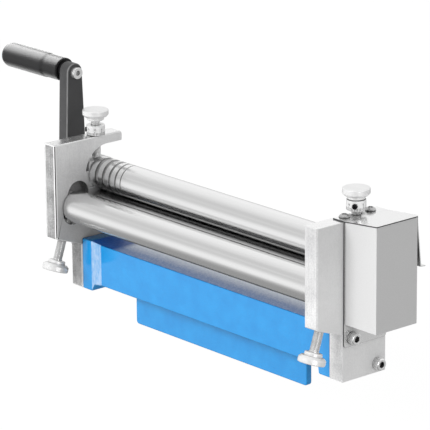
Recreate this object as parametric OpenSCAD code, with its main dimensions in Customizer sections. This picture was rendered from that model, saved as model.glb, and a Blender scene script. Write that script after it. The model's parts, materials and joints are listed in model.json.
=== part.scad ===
// Hand-cranked three-roll bench slip roll, held in a vice by the tongue under its base.
// Lengths in millimetres. X runs along the rolls towards the gear cover, -Y is the bending
// roll's side, Z is up. The origin is the middle of the tongue's lower edge.

/* [Rolls] */
// Diameter of each of the three rolls
roll_d = 28; // [24:0.5:32]
// Clear width between the two end plates
throat = 311; // [240:1:600]
// Side play between a roll's shoulder and each end plate
roll_play = 0.5; // [0.2:0.1:1]
// Chamfer at the ends of the rolls
roll_chamfer = 1; // [0.4:0.1:2]
// Diameter of the roll journals
journal_d = 14; // [12:0.5:16]
// Diameter of the shaft stubs that carry the gears and the crank
stub_d = 12; // [10:0.5:12]
// Gap between the two pinch rolls when they are closed
nip_gap = 0.5; // [0.3:0.1:1.5]
// Height of the lower roll's axis above the feet of the end plates
lower_axis_rise = 71; // [66:1:90]
// Smallest gap between the bending roll and the lower pinch roll
bend_gap = 0.5; // [0.3:0.1:3]
// Radii of the wire grooves in the upper roll, from its left end inwards
groove_radii = [2.2, 1.8, 1.4, 1, 0.6];
// Land left between two wire grooves
groove_land = 5.2; // [3:0.1:8]
// Plain length of the upper roll before its first wire groove
groove_start = 8; // [4:0.5:12]

/* [Bending roll travel] */
// Backward tilt of the bending roll's slots
tilt = 19; // [0:1:25]
// Rest position of the bending roll below the point nearest to the lower roll
bend_rest = 5.8; // [2:0.1:8]
// Travel of the bending roll down from rest
bend_down = 5.5; // [3:0.1:8]
// Travel of the bending roll up from rest
bend_up = 11; // [6:0.1:11]
// Lift of the upper roll from closed
nip_travel = 1.2; // [0.6:0.1:1.4]

/* [End plates] */
// Thickness of the end plates
plate_t = 14.7; // [14:0.1:20]
// Thickness of the arm over the upper bearing
arm_t = 8.4; // [6:0.2:14]
// Gap between the upper roll and the underside of the arm
over_roll_gap = 9.6; // [8:0.2:16]
// Metal in front of the bending roll's slot
front_wall = 8; // [5:0.2:14]
// Metal behind the upper bearing block
back_wall = 12; // [8:0.5:20]
// Metal below the slot that carries the bending screw's thread
bend_nut_length = 14.9; // [10:0.1:15]
// Distance of the leg's front face from the pinch rolls' plane
leg_front = 22.4; // [20:0.2:26]
// Radius of the bearing opening's upper front corner
opening_r = 24; // [14:1:26]
// Step between the bearing block's pocket and the opening above it
opening_ledge = 4; // [2:0.5:5]
// Height of the pocket's rear lip above the upper roll's axis
lip_rise = 3; // [0:0.5:6]
// Chamfer on the plates' front edges
plate_chamfer = 1; // [0.4:0.1:2]
// Corner radius at the tip of the arm
arm_tip_r = 2.5; // [1:0.5:3]
// Corner radius at the foot of the front face
front_foot_r = 2; // [1:0.5:4]
// Depth of the bending roll's blind slots
slot_depth = 10.5; // [9:0.5:12]

/* [Bearings] */
// Metal beside the journal in an upper bearing block
block_wall = 5; // [4:0.5:8]
// Metal under the journal in an upper bearing block
block_floor = 4; // [3:0.5:6]
// Metal over the journal in an upper bearing block
block_roof = 3.5; // [3:0.5:5]
// Wall of the lower roll's bushes
bush_wall = 3; // [2:0.5:4]
// Wall of the bending roll's sliding bushes
bend_bush_wall = 4; // [3:0.5:5]

/* [Base casting] */
// Height of the plates' feet above the lower edge of the tongue
tongue_drop = 24.5; // [15:0.5:50]
// Length of the vice tongue
tongue_length = 215; // [120:5:230]
// Thickness of the vice tongue
tongue_t = 6; // [4:0.5:12]
// Corner radius of the vice tongue
tongue_r = 3; // [1:0.5:6]
// Thickness of the end flanges
flange_t = 12.6; // [10:0.2:16]
// Height of the end flanges
flange_h = 45; // [40:1:50]
// Distance of the flanges' rear face from the pinch rolls' plane
flange_back = 20; // [18:0.5:24]
// Height of the beam between the flanges
beam_h = 36.6; // [30:0.2:38]
// Height of the beam's underside above the feet
beam_rise = 5.5; // [2:0.5:8]
// Setback of the beam from the flanges, front and rear
beam_inset = 4; // [2:0.5:6]
// Length of the slope between a flange and the beam
beam_slope = 8.2; // [6:0.2:16]
// Length of the slope under the beam, next to a flange's foot
foot_slope = 2; // [1:0.5:5]

/* [Screws] */
// Thread diameter of the plate screws and the crank's end screw
thread_d = 6; // [5:0.5:6]
// Thread diameter of the adjusting screws
adjust_d = 8; // [7:0.5:8.5]
// Distance of the adjusting screws from the end plates' inner faces
adjust_inset = 6; // [5:0.1:7.5]
// Diameter of the adjusting screws' thin ends
point_d = 5; // [3:0.5:6]
// Diameter of a plate screw's head
cap_d = 10; // [8:0.5:11]
// Height of a plate screw's head
cap_h = 6; // [4:0.5:8]
// Width across the flats of a plate screw's socket
cap_socket = 5; // [4:0.5:6]
// Length of a plate screw under its head
cap_length = 24; // [20:1:25]
// Distance of the plate screws from the leg's front and rear edges
cap_inset = 9.1; // [7:0.1:11]
// Height of the lower plate screw above the foot
cap_low_rise = 7.5; // [6:0.5:10]
// Depth of the upper plate screw below the flange's top
cap_high_drop = 9.5; // [8:0.5:14]

/* [Knobs and dials] */
// Diameter of the adjusting knobs
knob_d = 22.4; // [18:0.2:26]
// Thickness of the adjusting knobs
knob_t = 6.2; // [4:0.2:8]
// Bevel on the face's edge of the adjusting knobs
knob_bevel = 0.6; // [0.3:0.1:1.2]
// Bevel on the inner edge of the adjusting knobs
knob_under_bevel = 1.8; // [0.3:0.1:2.4]
// Diameter of the hub under a knob
hub_d = 14.6; // [11:0.2:16]
// Height of the hub under a knob
hub_h = 3.2; // [2:0.2:5]
// Bevel on the hub's free edge
hub_bevel = 0.8; // [0.2:0.1:1.5]
// Height of the top knobs' faces above the plates
knob_rise = 22.2; // [21:0.2:30]
// Bare screw between the end plate and each lower knob's hub
low_screw_reach = 17.6; // [13:0.2:30]
// Diameter of the graduated collars
dial_d = 15.8; // [13:0.2:18]
// Height of the graduated collars
dial_h = 8.4; // [5:0.2:9]
// Height of the left collar above the plate; the right one sits under its knob's hub
left_dial_rise = 0.3; // [0.2:0.1:3]
// Diameter of the collars' set screws
set_screw_d = 4; // [3:0.5:5]
// Length of a set screw that stands out of its collar
set_screw_proud = 1.2; // [0.4:0.1:3]

/* [Gears] */
// Number of teeth on each roll gear
gear_teeth = 19; // [17:2:25]
// Width of each roll gear
gear_w = 14; // [8:1:20]
// Backlash between the meshed teeth
gear_backlash = 0.2; // [0.1:0.05:0.4]
// Gap between the cover's backing sheet and the gears
gear_gap = 1.5; // [1:0.5:4]

/* [Gear cover] */
// Thickness of the cover's sheet metal
sheet_t = 1; // [0.6:0.1:1.4]
// Depth of the cover box out from the end plate
cover_x = 36.3; // [32:0.1:50]
// Distance of the cover's front face from the pinch rolls' plane
cover_front = 21; // [20:0.5:24]
// Distance of the cover's rear face from the pinch rolls' plane
cover_back = 23; // [20:0.5:26]
// Clearance under the lower gear inside the cover box
cover_under_gap = 6.2; // [2:0.2:12]
// Rise of the cover's top from the end plate to its outer end
cover_rise = 3.4; // [1:0.2:6]
// How far the backing sheet hangs below the box
sheet_hang = 19.5; // [16:0.5:22]
// Radius of the backing sheet's lower corners
sheet_r = 2.5; // [1:0.5:5]
// How far the lid reaches over the end plate
lid_lap = 12; // [11:0.5:14]
// How far the lid stands out past the box in front and at its outer end
lid_overhang = 0.8; // [0.2:0.1:2]
// Length of the cut corner between the lid's rear edge and its outer end
lid_corner = 3; // [1:0.5:6]
// Length of the spring flap at the lid's rear edge
flap_length = 40; // [20:1:60]
// Outward lean of the spring flap
flap_lean = 6; // [2:1:15]
// Length of the finger lip at the flap's lower edge
flap_lip = 4.5; // [2:0.5:8]
// Diameter of the lid screws' heads
lid_screw_head_d = 8.5; // [7:0.5:9]
// Height of the lid screws' heads
lid_screw_head_h = 2.8; // [1.5:0.1:4]
// Thread diameter of the lid screws
lid_screw_d = 4; // [3:0.5:5]
// Distance of the lid screws from the adjusting screw
lid_screw_pitch = 14; // [12:0.5:15]

/* [Crank] */
// Throw of the crank, from the roll's axis to the grip's axis
crank_throw = 109.8; // [80:0.2:160]
// Width of the crank arm at the roll
arm_root_w = 24.4; // [20:0.2:30]
// Width of the crank arm at the grip
arm_end_w = 16; // [14:0.2:20]
// Thickness of the crank arm
crank_t = 11.6; // [8:0.2:14]
// Distance of the crank arm from the end plate
crank_offset = 18.3; // [14:0.1:30]
// Diameter of the crank arm's boss
crank_boss_d = 22; // [20:0.5:24]
// Gap between the crank's boss and the end plate
crank_gap = 1.5; // [0.5:0.1:3]
// Length of the grip
grip_length = 80; // [60:1:120]
// Largest diameter of the grip
grip_d = 21.4; // [18:0.2:26]
// Diameter of the grip next to the arm
grip_neck_d = 20.4; // [15:0.2:21]
// Chamfer at the grip's inner end
grip_edge = 1; // [0.4:0.1:2]
// Diameter of the grip's spindle
spindle_d = 8; // [6:0.5:9]
// Solid end of the grip past its spindle
grip_end_wall = 14; // [12:1:24]
// Diameter of the spindle's head
spindle_head_d = 10; // [9.2:0.2:13]
// Thickness of the spindle's head
spindle_head_t = 4.4; // [2:0.2:6]

/* [Hidden] */

$fn = 96;
overrun = 0.5;
socket_sides = 6;

// Clearances
slide_gap = 0.12;
running_gap = 0.05;
thread_gap = 0.1;
press_gap = 0.02;
seat_gap = 0.3;
key_gap = 0.05;
hole_gap = 0.3;

// Axes and levels
half_throat = throat / 2;
pinch_centres = roll_d + nip_gap;
foot_z = tongue_drop;
lower_z = foot_z + lower_axis_rise;
upper_z = lower_z + pinch_centres;
opening_top_z = upper_z + roll_d / 2 + over_roll_gap;
plate_top_z = opening_top_z + arm_t;
plate_mid_x = half_throat + plate_t / 2;
outer_x = half_throat + plate_t;
adjust_x = half_throat + adjust_inset;

// The bending roll's slot runs along up_slope, roll_d + bend_gap in front of the lower roll
up_slope = [sin(tilt), cos(tilt)];
slot_foot = [-(roll_d + bend_gap) * cos(tilt), lower_z + (roll_d + bend_gap) * sin(tilt)];
bend_axis = slot_foot - bend_rest * up_slope;
bend_low = bend_axis - bend_down * up_slope;
bend_high = bend_axis + bend_up * up_slope;
bend_bush_d = journal_d + 2 * bend_bush_wall;
slot_w = bend_bush_d + 2 * running_gap;
bend_to_underside = bend_down + bend_bush_d / 2 + bend_nut_length;

// Outline of an end plate
block_w = journal_d + 2 * block_wall;
pocket_y = block_w / 2 + slide_gap;
pocket_z = upper_z - journal_d / 2 - block_floor - seat_gap;
lip_z = upper_z + lip_rise;
plate_front_y = bend_low[0] - bend_bush_d / 2 - front_wall;
plate_back_y = block_w / 2 + back_wall;
opening_y = -pocket_y - opening_ledge;
underside = (bend_axis - bend_to_underside * up_slope) * up_slope;
function underside_z(y) = (underside - y * sin(tilt)) / cos(tilt);

// Screw places
cap_places = [
    [-leg_front + cap_inset, foot_z + flange_h - cap_high_drop],
    [plate_back_y - cap_inset, foot_z + cap_low_rise]
];

// Gears
gear_module = pinch_centres / gear_teeth;
pressure_angle = 20;
gear_x = outer_x + sheet_t + gear_gap;
key_w = 4;
key_h = 4;
key_sink = 2;
key_end = 1;
clip_t = 1;
clip_wall = 2;
clip_sink = 0.6;
clip_mouth = 70;
stub_end = 2;
stub_x = gear_x + gear_w + clip_t + stub_end;

// Gear cover, with its lid resting on the end plate's top and on the box
cover_low_z = lower_z - pinch_centres / 2 - gear_module - cover_under_gap - sheet_t;
sheet_low_z = cover_low_z - sheet_hang;
lid_back_y = plate_back_y + sheet_t + seat_gap;
lid_end_x = outer_x + cover_x + lid_overhang;
function lid_under_z(x) = plate_top_z + cover_rise * (x - outer_x) / cover_x;

// Crank
crank_x = -outer_x - crank_offset;
grip_z = lower_z + crank_throw;
washer_t = 2;
washer_d = 16;
end_screw_head_d = 11.5;
end_screw_head_h = 4;
end_screw_length = 16;
grip_x = crank_x - crank_t - washer_t;
crank_key_end = crank_x + crank_offset / 3;
spindle_reach = grip_length - grip_end_wall - washer_t;
grip_clip_end = 3;
grip_clip_x = grip_x - spindle_reach + grip_clip_end;

// Adjusting screws and their collars
point_seat = 2;
point_length = 4;
lid_screw_length = 7.5;
right_dial_rise = knob_rise - knob_t - hub_h - dial_h;
left_set_angle = 229;
right_set_angle = -52;

module rod_x(d, x0, x1, y = 0, z = 0) {
    translate([x0, y, z]) rotate([0, 90, 0]) cylinder(d = d, h = x1 - x0);
}

// Extrudes an outline drawn in Y and Z along X
module slab_x(x0, t) {
    translate([x0, 0, 0]) rotate([90, 0, 90]) linear_extrude(t) children();
}

module mirror_x(flip) {
    mirror([flip ? 1 : 0, 0, 0]) children();
}

// Lays a part made along Z onto the bending screw's axis, zero at the bending roll's axis
module on_bend_axis(x) {
    translate([x, bend_axis[0], bend_axis[1]]) rotate([-tilt, 0, 0]) children();
}

module chamfered_rod(d, length, chamfer) {
    rotate([0, 90, 0])
        rotate_extrude()
            polygon([
                [0, -length / 2], [d / 2 - chamfer, -length / 2], [d / 2, -length / 2 + chamfer],
                [d / 2, length / 2 - chamfer], [d / 2 - chamfer, length / 2], [0, length / 2]
            ]);
}

module key(x0, x1, z) {
    translate([x0, -key_w / 2, z + stub_d / 2 - key_sink]) cube([x1 - x0, key_w, key_h]);
}

module key_slot(x0, x1, z) {
    translate([x0, -key_w / 2 - key_gap, z + stub_d / 2 - key_sink - key_gap])
        cube([x1 - x0, key_w + 2 * key_gap, key_h + 2 * key_gap]);
}

// Involute spur gear
function involute(a) = tan(a) * 180 / PI - a;
function flank_angle(r, base_r, half) =
    half + involute(pressure_angle) - involute(r > base_r ? acos(base_r / r) : 0);

module gear_outline() {
    pitch_r = gear_module * gear_teeth / 2;
    base_r = pitch_r * cos(pressure_angle);
    root_r = pitch_r - 1.25 * gear_module;
    tip_r = pitch_r + gear_module;
    half = 90 / gear_teeth - gear_backlash / 4 / pitch_r * 180 / PI;
    flank_shares = [0, 0.12, 0.25, 0.4, 0.55, 0.7, 0.85, 1];
    radii = concat([root_r], [for (s = flank_shares) base_r + s * (tip_r - base_r)]);
    angles = [for (r = radii) flank_angle(r, base_r, half)];
    last = len(radii) - 1;
    polygon([
        for (tooth = [0:gear_teeth - 1], side = [1, -1], i = [0:last])
            let (
                n = side > 0 ? i : last - i,
                a = 90 + tooth * 360 / gear_teeth - side * angles[n]
            )
            radii[n] * [cos(a), sin(a)]
    ]);
}

module roll_gear(z) {
    difference() {
        translate([gear_x, 0, z]) rotate([90, 0, 90]) linear_extrude(gear_w) gear_outline();
        rod_x(stub_d + 2 * key_gap, gear_x - overrun, gear_x + gear_w + overrun, 0, z);
        key_slot(gear_x - overrun, gear_x + gear_w + overrun, z);
    }
}

module gear_key(z) {
    key(gear_x + key_end, gear_x + gear_w - key_end, z);
}

module circlip(z) {
    clip_d = stub_d + 2 * clip_wall;
    translate([gear_x + gear_w + key_gap, 0, z])
        rotate([0, 90, 0])
            rotate([0, 0, clip_mouth / 2])
                rotate_extrude(angle = 360 - clip_mouth)
                    translate([stub_d / 2 - clip_sink + key_gap, 0])
                        square([clip_d / 2 - stub_d / 2 + clip_sink, clip_t - 2 * key_gap]);
}

// Shaft end that carries a gear: stub, keyway and circlip groove
module gear_stub(z) {
    difference() {
        rod_x(stub_d, gear_x - overrun, stub_x, 0, z);
        key_slot(gear_x + key_end - key_gap, gear_x + gear_w - key_end + key_gap, z);
        difference() {
            rod_x(stub_d + overrun, gear_x + gear_w, gear_x + gear_w + clip_t, 0, z);
            rod_x(stub_d - 2 * clip_sink, gear_x + gear_w - overrun, stub_x, 0, z);
        }
    }
}

function groove_x(i) =
    i == 0 ? groove_start + groove_radii[0]
           : groove_x(i - 1) + groove_radii[i - 1] + groove_radii[i] + groove_land;

module upper_roll() {
    color("gainsboro")
        difference() {
            union() {
                translate([0, 0, upper_z]) chamfered_rod(roll_d, throat - 2 * roll_play, roll_chamfer);
                rod_x(journal_d, -outer_x + roll_play, gear_x, 0, upper_z);
                gear_stub(upper_z);
            }
            for (i = [0:len(groove_radii) - 1])
                translate([-half_throat + roll_play + groove_x(i), 0, upper_z])
                    rotate([0, 90, 0])
                        rotate_extrude()
                            translate([roll_d / 2, 0]) circle(r = groove_radii[i], $fn = 32);
        }
}

module lower_roll() {
    color("gainsboro")
        difference() {
            union() {
                translate([0, 0, lower_z]) chamfered_rod(roll_d, throat - 2 * roll_play, roll_chamfer);
                rod_x(journal_d, -outer_x - crank_gap, gear_x, 0, lower_z);
                rod_x(stub_d, crank_x - crank_t + seat_gap, -outer_x, 0, lower_z);
                gear_stub(lower_z);
            }
            key_slot(crank_x - crank_t - overrun, crank_key_end + key_gap, lower_z);
            rod_x(thread_d + 2 * key_gap, crank_x - crank_t - overrun,
                  crank_x - crank_t + end_screw_length, 0, lower_z);
        }
}

module bending_roll() {
    journal_length = slot_depth - 2 * roll_play;
    color("gainsboro")
        translate([0, bend_axis[0], bend_axis[1]]) {
            chamfered_rod(roll_d, throat - 2 * roll_play, roll_chamfer);
            rod_x(journal_d, -half_throat - journal_length, half_throat + journal_length);
        }
}

// Slot with round ends, its straight sides a hair closer to the bush than its ends
module slot_outline() {
    side_w = slot_w - 2 * press_gap;
    translate(bend_low)
        rotate(-tilt)
            translate([-side_w / 2, 0]) square([side_w, bend_down + bend_up]);
    for (end = [bend_low, bend_high])
        translate(end) circle(d = slot_w);
}

// Side outline of an end plate: front block, slanted underside, leg and arm
module plate_outline() {
    r = opening_r;
    corner = [opening_y + r, opening_top_z - r];
    foot_round_y = plate_front_y + front_foot_r;
    foot_round = [foot_round_y, underside_z(foot_round_y) + front_foot_r / cos(tilt)];
    difference() {
        polygon([
            [plate_front_y, plate_top_z],
            [plate_front_y, underside_z(plate_front_y)],
            [-leg_front, underside_z(-leg_front)],
            [-leg_front, foot_z],
            [plate_back_y, foot_z],
            [plate_back_y, plate_top_z]
        ]);
        // Opening under the arm, with its round upper front corner
        difference() {
            translate([opening_y, lip_z])
                square([plate_back_y - opening_y + overrun, opening_top_z - lip_z]);
            difference() {
                translate([opening_y - overrun, corner[1]]) square([r + overrun, r + overrun]);
                translate(corner) circle(r = r);
            }
        }
        translate([-pocket_y, pocket_z]) square([2 * pocket_y, lip_z - pocket_z + overrun]);
        // Rounded upper corner of the arm's tip
        difference() {
            translate([plate_back_y - arm_tip_r, plate_top_z - arm_tip_r])
                square([arm_tip_r + overrun, arm_tip_r + overrun]);
            translate([plate_back_y - arm_tip_r, plate_top_z - arm_tip_r]) circle(r = arm_tip_r);
        }
        // Rounded lower front corner, tangent to the front face and the slanted underside
        difference() {
            polygon([
                foot_round - [front_foot_r + overrun, 0],
                foot_round,
                foot_round - (front_foot_r + overrun) * up_slope,
                foot_round - (front_foot_r + overrun) * [1, 2]
            ]);
            translate(foot_round) circle(r = front_foot_r);
        }
    }
}

// Plan of an end plate with chamfered front edges
module plate_plan() {
    c = plate_chamfer;
    polygon([
        [half_throat + c, plate_front_y], [outer_x - c, plate_front_y],
        [outer_x, plate_front_y + c], [outer_x, plate_back_y],
        [half_throat, plate_back_y], [half_throat, plate_front_y + c]
    ]);
}

// Right-hand plate; the left one is its mirror image without the lid's screw holes
module end_plate(with_lid) {
    difference() {
        intersection() {
            slab_x(half_throat, plate_t) plate_outline();
            translate([0, 0, foot_z - overrun])
                linear_extrude(plate_top_z - foot_z + 2 * overrun) plate_plan();
        }
        slab_x(half_throat - overrun, slot_depth + overrun) slot_outline();
        rod_x(journal_d + 2 * bush_wall + 2 * press_gap, half_throat - overrun, outer_x + overrun, 0,
              lower_z);
        on_bend_axis(adjust_x)
            translate([0, 0, -bend_to_underside - overrun])
                cylinder(d = adjust_d + 2 * thread_gap, h = bend_to_underside);
        translate([adjust_x, 0, opening_top_z - opening_r])
            cylinder(d = adjust_d + 2 * thread_gap, h = opening_r + arm_t + overrun);
        for (p = cap_places)
            rod_x(thread_d + 2 * hole_gap, half_throat - overrun, outer_x + overrun, p[0], p[1]);
        if (with_lid)
            for (side = [-1, 1])
                translate([plate_mid_x, side * lid_screw_pitch, plate_top_z - lid_screw_length])
                    cylinder(d = lid_screw_d + 2 * key_gap, h = lid_screw_length + overrun);
    }
}

module left_end_plate() {
    color("silver") mirror_x(true) end_plate(false);
}

module right_end_plate() {
    color("silver") end_plate(true);
}

module cap_screw(place) {
    difference() {
        union() {
            rod_x(cap_d, 0, cap_h, place[0], place[1]);
            rod_x(thread_d, -cap_length, overrun, place[0], place[1]);
        }
        translate([cap_h / 2, place[0], place[1]])
            rotate([0, 90, 0])
                cylinder(d = cap_socket / cos(180 / socket_sides), h = cap_h, $fn = socket_sides);
    }
}

// The upper right screw also clamps the gear cover's backing sheet
module plate_screws(over_sheet) {
    for (i = [0, 1])
        translate([outer_x + (over_sheet && cap_places[i][1] > sheet_low_z ? sheet_t : 0), 0, 0])
            cap_screw(cap_places[i]);
}

module left_plate_screws() {
    color("gainsboro") mirror_x(true) plate_screws(false);
}

module right_plate_screws() {
    color("gainsboro") plate_screws(true);
}

module lower_bush() {
    difference() {
        rod_x(journal_d + 2 * bush_wall, half_throat, outer_x, 0, lower_z);
        rod_x(journal_d + 2 * running_gap, half_throat - overrun, outer_x + overrun, 0, lower_z);
    }
}

module left_lower_bush() {
    color("darkgoldenrod") mirror_x(true) lower_bush();
}

module right_lower_bush() {
    color("darkgoldenrod") lower_bush();
}

// Bearing block of the upper roll, with a seat on top for the screw's thin end
module bearing_block() {
    block_low_z = upper_z - journal_d / 2 - block_floor;
    block_top_z = upper_z + journal_d / 2 + block_roof;
    difference() {
        translate([half_throat, -block_w / 2, block_low_z])
            cube([plate_t, block_w, block_top_z - block_low_z]);
        rod_x(journal_d + 2 * running_gap, half_throat - overrun, outer_x + overrun, 0, upper_z);
        translate([adjust_x, 0, block_top_z - point_seat])
            cylinder(d = point_d + 2 * running_gap, h = point_seat + overrun);
    }
}

module left_bearing_block() {
    color("dimgray") mirror_x(true) bearing_block();
}

module right_bearing_block() {
    color("dimgray") bearing_block();
}

// Round bush that slides in an end plate's blind slot and carries the bending roll
module bend_bush() {
    bush_end_x = half_throat + slot_depth - running_gap;
    difference() {
        rod_x(bend_bush_d, half_throat, bush_end_x, bend_axis[0], bend_axis[1]);
        rod_x(journal_d + 2 * running_gap, half_throat - overrun, bush_end_x + overrun,
              bend_axis[0], bend_axis[1]);
        on_bend_axis(adjust_x)
            translate([0, 0, -bend_bush_d / 2 - overrun])
                cylinder(d = point_d + 2 * running_gap, h = point_seat + overrun);
    }
}

module left_bend_bush() {
    color("silver") mirror_x(true) bend_bush();
}

module right_bend_bush() {
    color("silver") bend_bush();
}

// Knob, hub, thread and thin end, turned in one piece; the knob's face is at zero, below it the rest
module knob_screw(length) {
    b = knob_bevel;
    c = knob_under_bevel;
    hub_z = -knob_t - hub_h;
    rotate_extrude()
        polygon([
            [0, 0], [knob_d / 2 - b, 0], [knob_d / 2, -b], [knob_d / 2, -knob_t + c],
            [knob_d / 2 - c, -knob_t], [hub_d / 2, -knob_t], [hub_d / 2, hub_z + hub_bevel],
            [hub_d / 2 - hub_bevel, hub_z], [adjust_d / 2, hub_z], [adjust_d / 2, -length + point_length],
            [point_d / 2, -length + point_length], [point_d / 2, -length], [0, -length]
        ]);
}

module nip_screw() {
    point_z = upper_z + journal_d / 2 + block_roof - point_seat + running_gap;
    translate([adjust_x, 0, plate_top_z + knob_rise])
        knob_screw(plate_top_z + knob_rise - point_z);
}

module left_nip_screw() {
    color("gainsboro") mirror_x(true) nip_screw();
}

module right_nip_screw() {
    color("gainsboro") nip_screw();
}

module bend_screw() {
    point_z = -bend_bush_d / 2 + point_seat - running_gap;
    face_z = -bend_to_underside - low_screw_reach - hub_h - knob_t;
    on_bend_axis(adjust_x)
        translate([0, 0, face_z]) mirror([0, 0, 1]) knob_screw(point_z - face_z);
}

module left_bend_screw() {
    color("gainsboro") mirror_x(true) bend_screw();
}

module right_bend_screw() {
    color("gainsboro") bend_screw();
}

module dial(x, rise, angle) {
    translate([x, 0, plate_top_z + rise])
        difference() {
            cylinder(d = dial_d, h = dial_h);
            translate([0, 0, -overrun]) cylinder(d = adjust_d + 2 * key_gap, h = dial_h + 2 * overrun);
            rotate([0, 0, angle])
                rod_x(set_screw_d + 2 * key_gap, 0, dial_d, 0, dial_h / 2);
        }
}

module set_screw(x, rise, angle) {
    tip = dial_d / 2 + set_screw_proud;
    socket = set_screw_d / 2;
    translate([x, 0, plate_top_z + rise + dial_h / 2])
        rotate([0, 0, angle])
            difference() {
                rod_x(set_screw_d, adjust_d / 2 + key_gap, tip);
                translate([tip - set_screw_proud, 0, 0])
                    rotate([0, 90, 0])
                        cylinder(d = socket, h = 2 * set_screw_proud, $fn = socket_sides);
            }
}

module left_dial() {
    color("gainsboro") dial(-adjust_x, left_dial_rise, left_set_angle);
}

module left_set_screw() {
    color("black") set_screw(-adjust_x, left_dial_rise, left_set_angle);
}

module right_dial() {
    color("gainsboro") dial(adjust_x, right_dial_rise, right_set_angle);
}

module right_set_screw() {
    color("black") set_screw(adjust_x, right_dial_rise, right_set_angle);
}

// Plan of the base casting: end flanges, slopes and a narrower beam between them
module base_plan() {
    f = half_throat;
    e = half_throat - flange_t;
    b = half_throat - flange_t - beam_slope;
    front = -leg_front;
    front_in = -leg_front + beam_inset;
    back_in = flange_back - beam_inset;
    polygon([
        [-f, front], [-e, front], [-b, front_in], [b, front_in], [e, front], [f, front],
        [f, flange_back], [e, flange_back], [b, back_in], [-b, back_in], [-e, flange_back],
        [-f, flange_back]
    ]);
}

// Front view of the base casting
module base_front() {
    f = half_throat;
    e = half_throat - flange_t;
    b = half_throat - flange_t - beam_slope;
    c = half_throat - flange_t - foot_slope;
    low = foot_z + beam_rise;
    high = low + beam_h;
    top = foot_z + flange_h;
    polygon([
        [-f, foot_z], [-e, foot_z], [-c, low], [c, low], [e, foot_z], [f, foot_z],
        [f, top], [e, top], [b, high], [-b, high], [-e, top], [-f, top]
    ]);
}

// Vice tongue with its two lower corners rounded
module tongue() {
    l = tongue_length;
    r = tongue_r;
    translate([0, tongue_t / 2, 0])
        rotate([90, 0, 0])
            linear_extrude(tongue_t)
                union() {
                    translate([-l / 2, r]) square([l, foot_z + beam_rise - r + overrun]);
                    translate([-l / 2 + r, 0]) square([l - 2 * r, r + overrun]);
                    for (side = [-1, 1])
                        translate([side * (l / 2 - r), r]) circle(r = r);
                }
}

module base_casting() {
    color("dodgerblue")
        difference() {
            union() {
                intersection() {
                    translate([0, 0, foot_z]) linear_extrude(flange_h) base_plan();
                    translate([0, flange_back, 0])
                        rotate([90, 0, 0]) linear_extrude(leg_front + flange_back) base_front();
                }
                tongue();
            }
            for (side = [-1, 1], p = cap_places)
                mirror_x(side < 0)
                    rod_x(thread_d + 2 * key_gap, half_throat - flange_t, half_throat + overrun,
                          p[0], p[1]);
        }
}

// Flat sheet between the end plate and the cover box
module gear_back_sheet() {
    r = sheet_r;
    hole_d = journal_d + 4 * nip_travel;
    color("lightgray")
        difference() {
            slab_x(outer_x, sheet_t) {
                translate([-cover_front - lid_overhang, sheet_low_z + r])
                    square([cover_front + plate_back_y + lid_overhang, plate_top_z - sheet_low_z - r]);
                translate([-cover_front - lid_overhang + r, sheet_low_z])
                    square([cover_front + plate_back_y + lid_overhang - 2 * r, 2 * r]);
                for (y = [-cover_front - lid_overhang + r, plate_back_y - r])
                    translate([y, sheet_low_z + r]) circle(r = r);
            }
            for (z = [lower_z, upper_z])
                rod_x(hole_d, outer_x - overrun, outer_x + sheet_t + overrun, 0, z);
            for (p = cap_places)
                rod_x(thread_d + 2 * hole_gap, outer_x - overrun, outer_x + sheet_t + overrun,
                      p[0], p[1]);
        }
}

// Extrudes an outline drawn in X and Z along Y, over the gear cover and its flap
module cover_slab(y0, y1) {
    translate([0, y1, 0]) rotate([90, 0, 0]) linear_extrude(y1 - y0) children();
}

// Folded box over the gears, open at the top and towards the plate, with spot-welded flanges
module gear_cover_box() {
    x0 = outer_x + sheet_t;
    x1 = outer_x + cover_x;
    weld_flange = 4 * sheet_t;
    inner_y = cover_front + cover_back - 2 * sheet_t;
    inner_h = lid_under_z(x1) - cover_low_z;
    color("lightgray")
        difference() {
            cover_slab(-cover_front, cover_back)
                polygon([
                    [x0, cover_low_z], [x1, cover_low_z], [x1, lid_under_z(x1) - press_gap],
                    [x0, lid_under_z(x0) - press_gap]
                ]);
            translate([x0 + sheet_t, -cover_front + sheet_t, cover_low_z + sheet_t])
                cube([cover_x - 3 * sheet_t, inner_y, inner_h]);
            translate([x0 - overrun, -cover_front + sheet_t + weld_flange,
                       cover_low_z + sheet_t + weld_flange])
                cube([sheet_t + 2 * overrun, inner_y - 2 * weld_flange, inner_h]);
        }
}

// Region under the lid's top face, or under its lower face when t is zero
module under_lid(t, low_z) {
    x0 = outer_x - lid_lap - overrun;
    x1 = lid_end_x + overrun;
    polygon([
        [x0, low_z], [x1, low_z], [x1, lid_under_z(x1) + t], [outer_x, plate_top_z + t],
        [x0, plate_top_z + t]
    ]);
}

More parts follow.
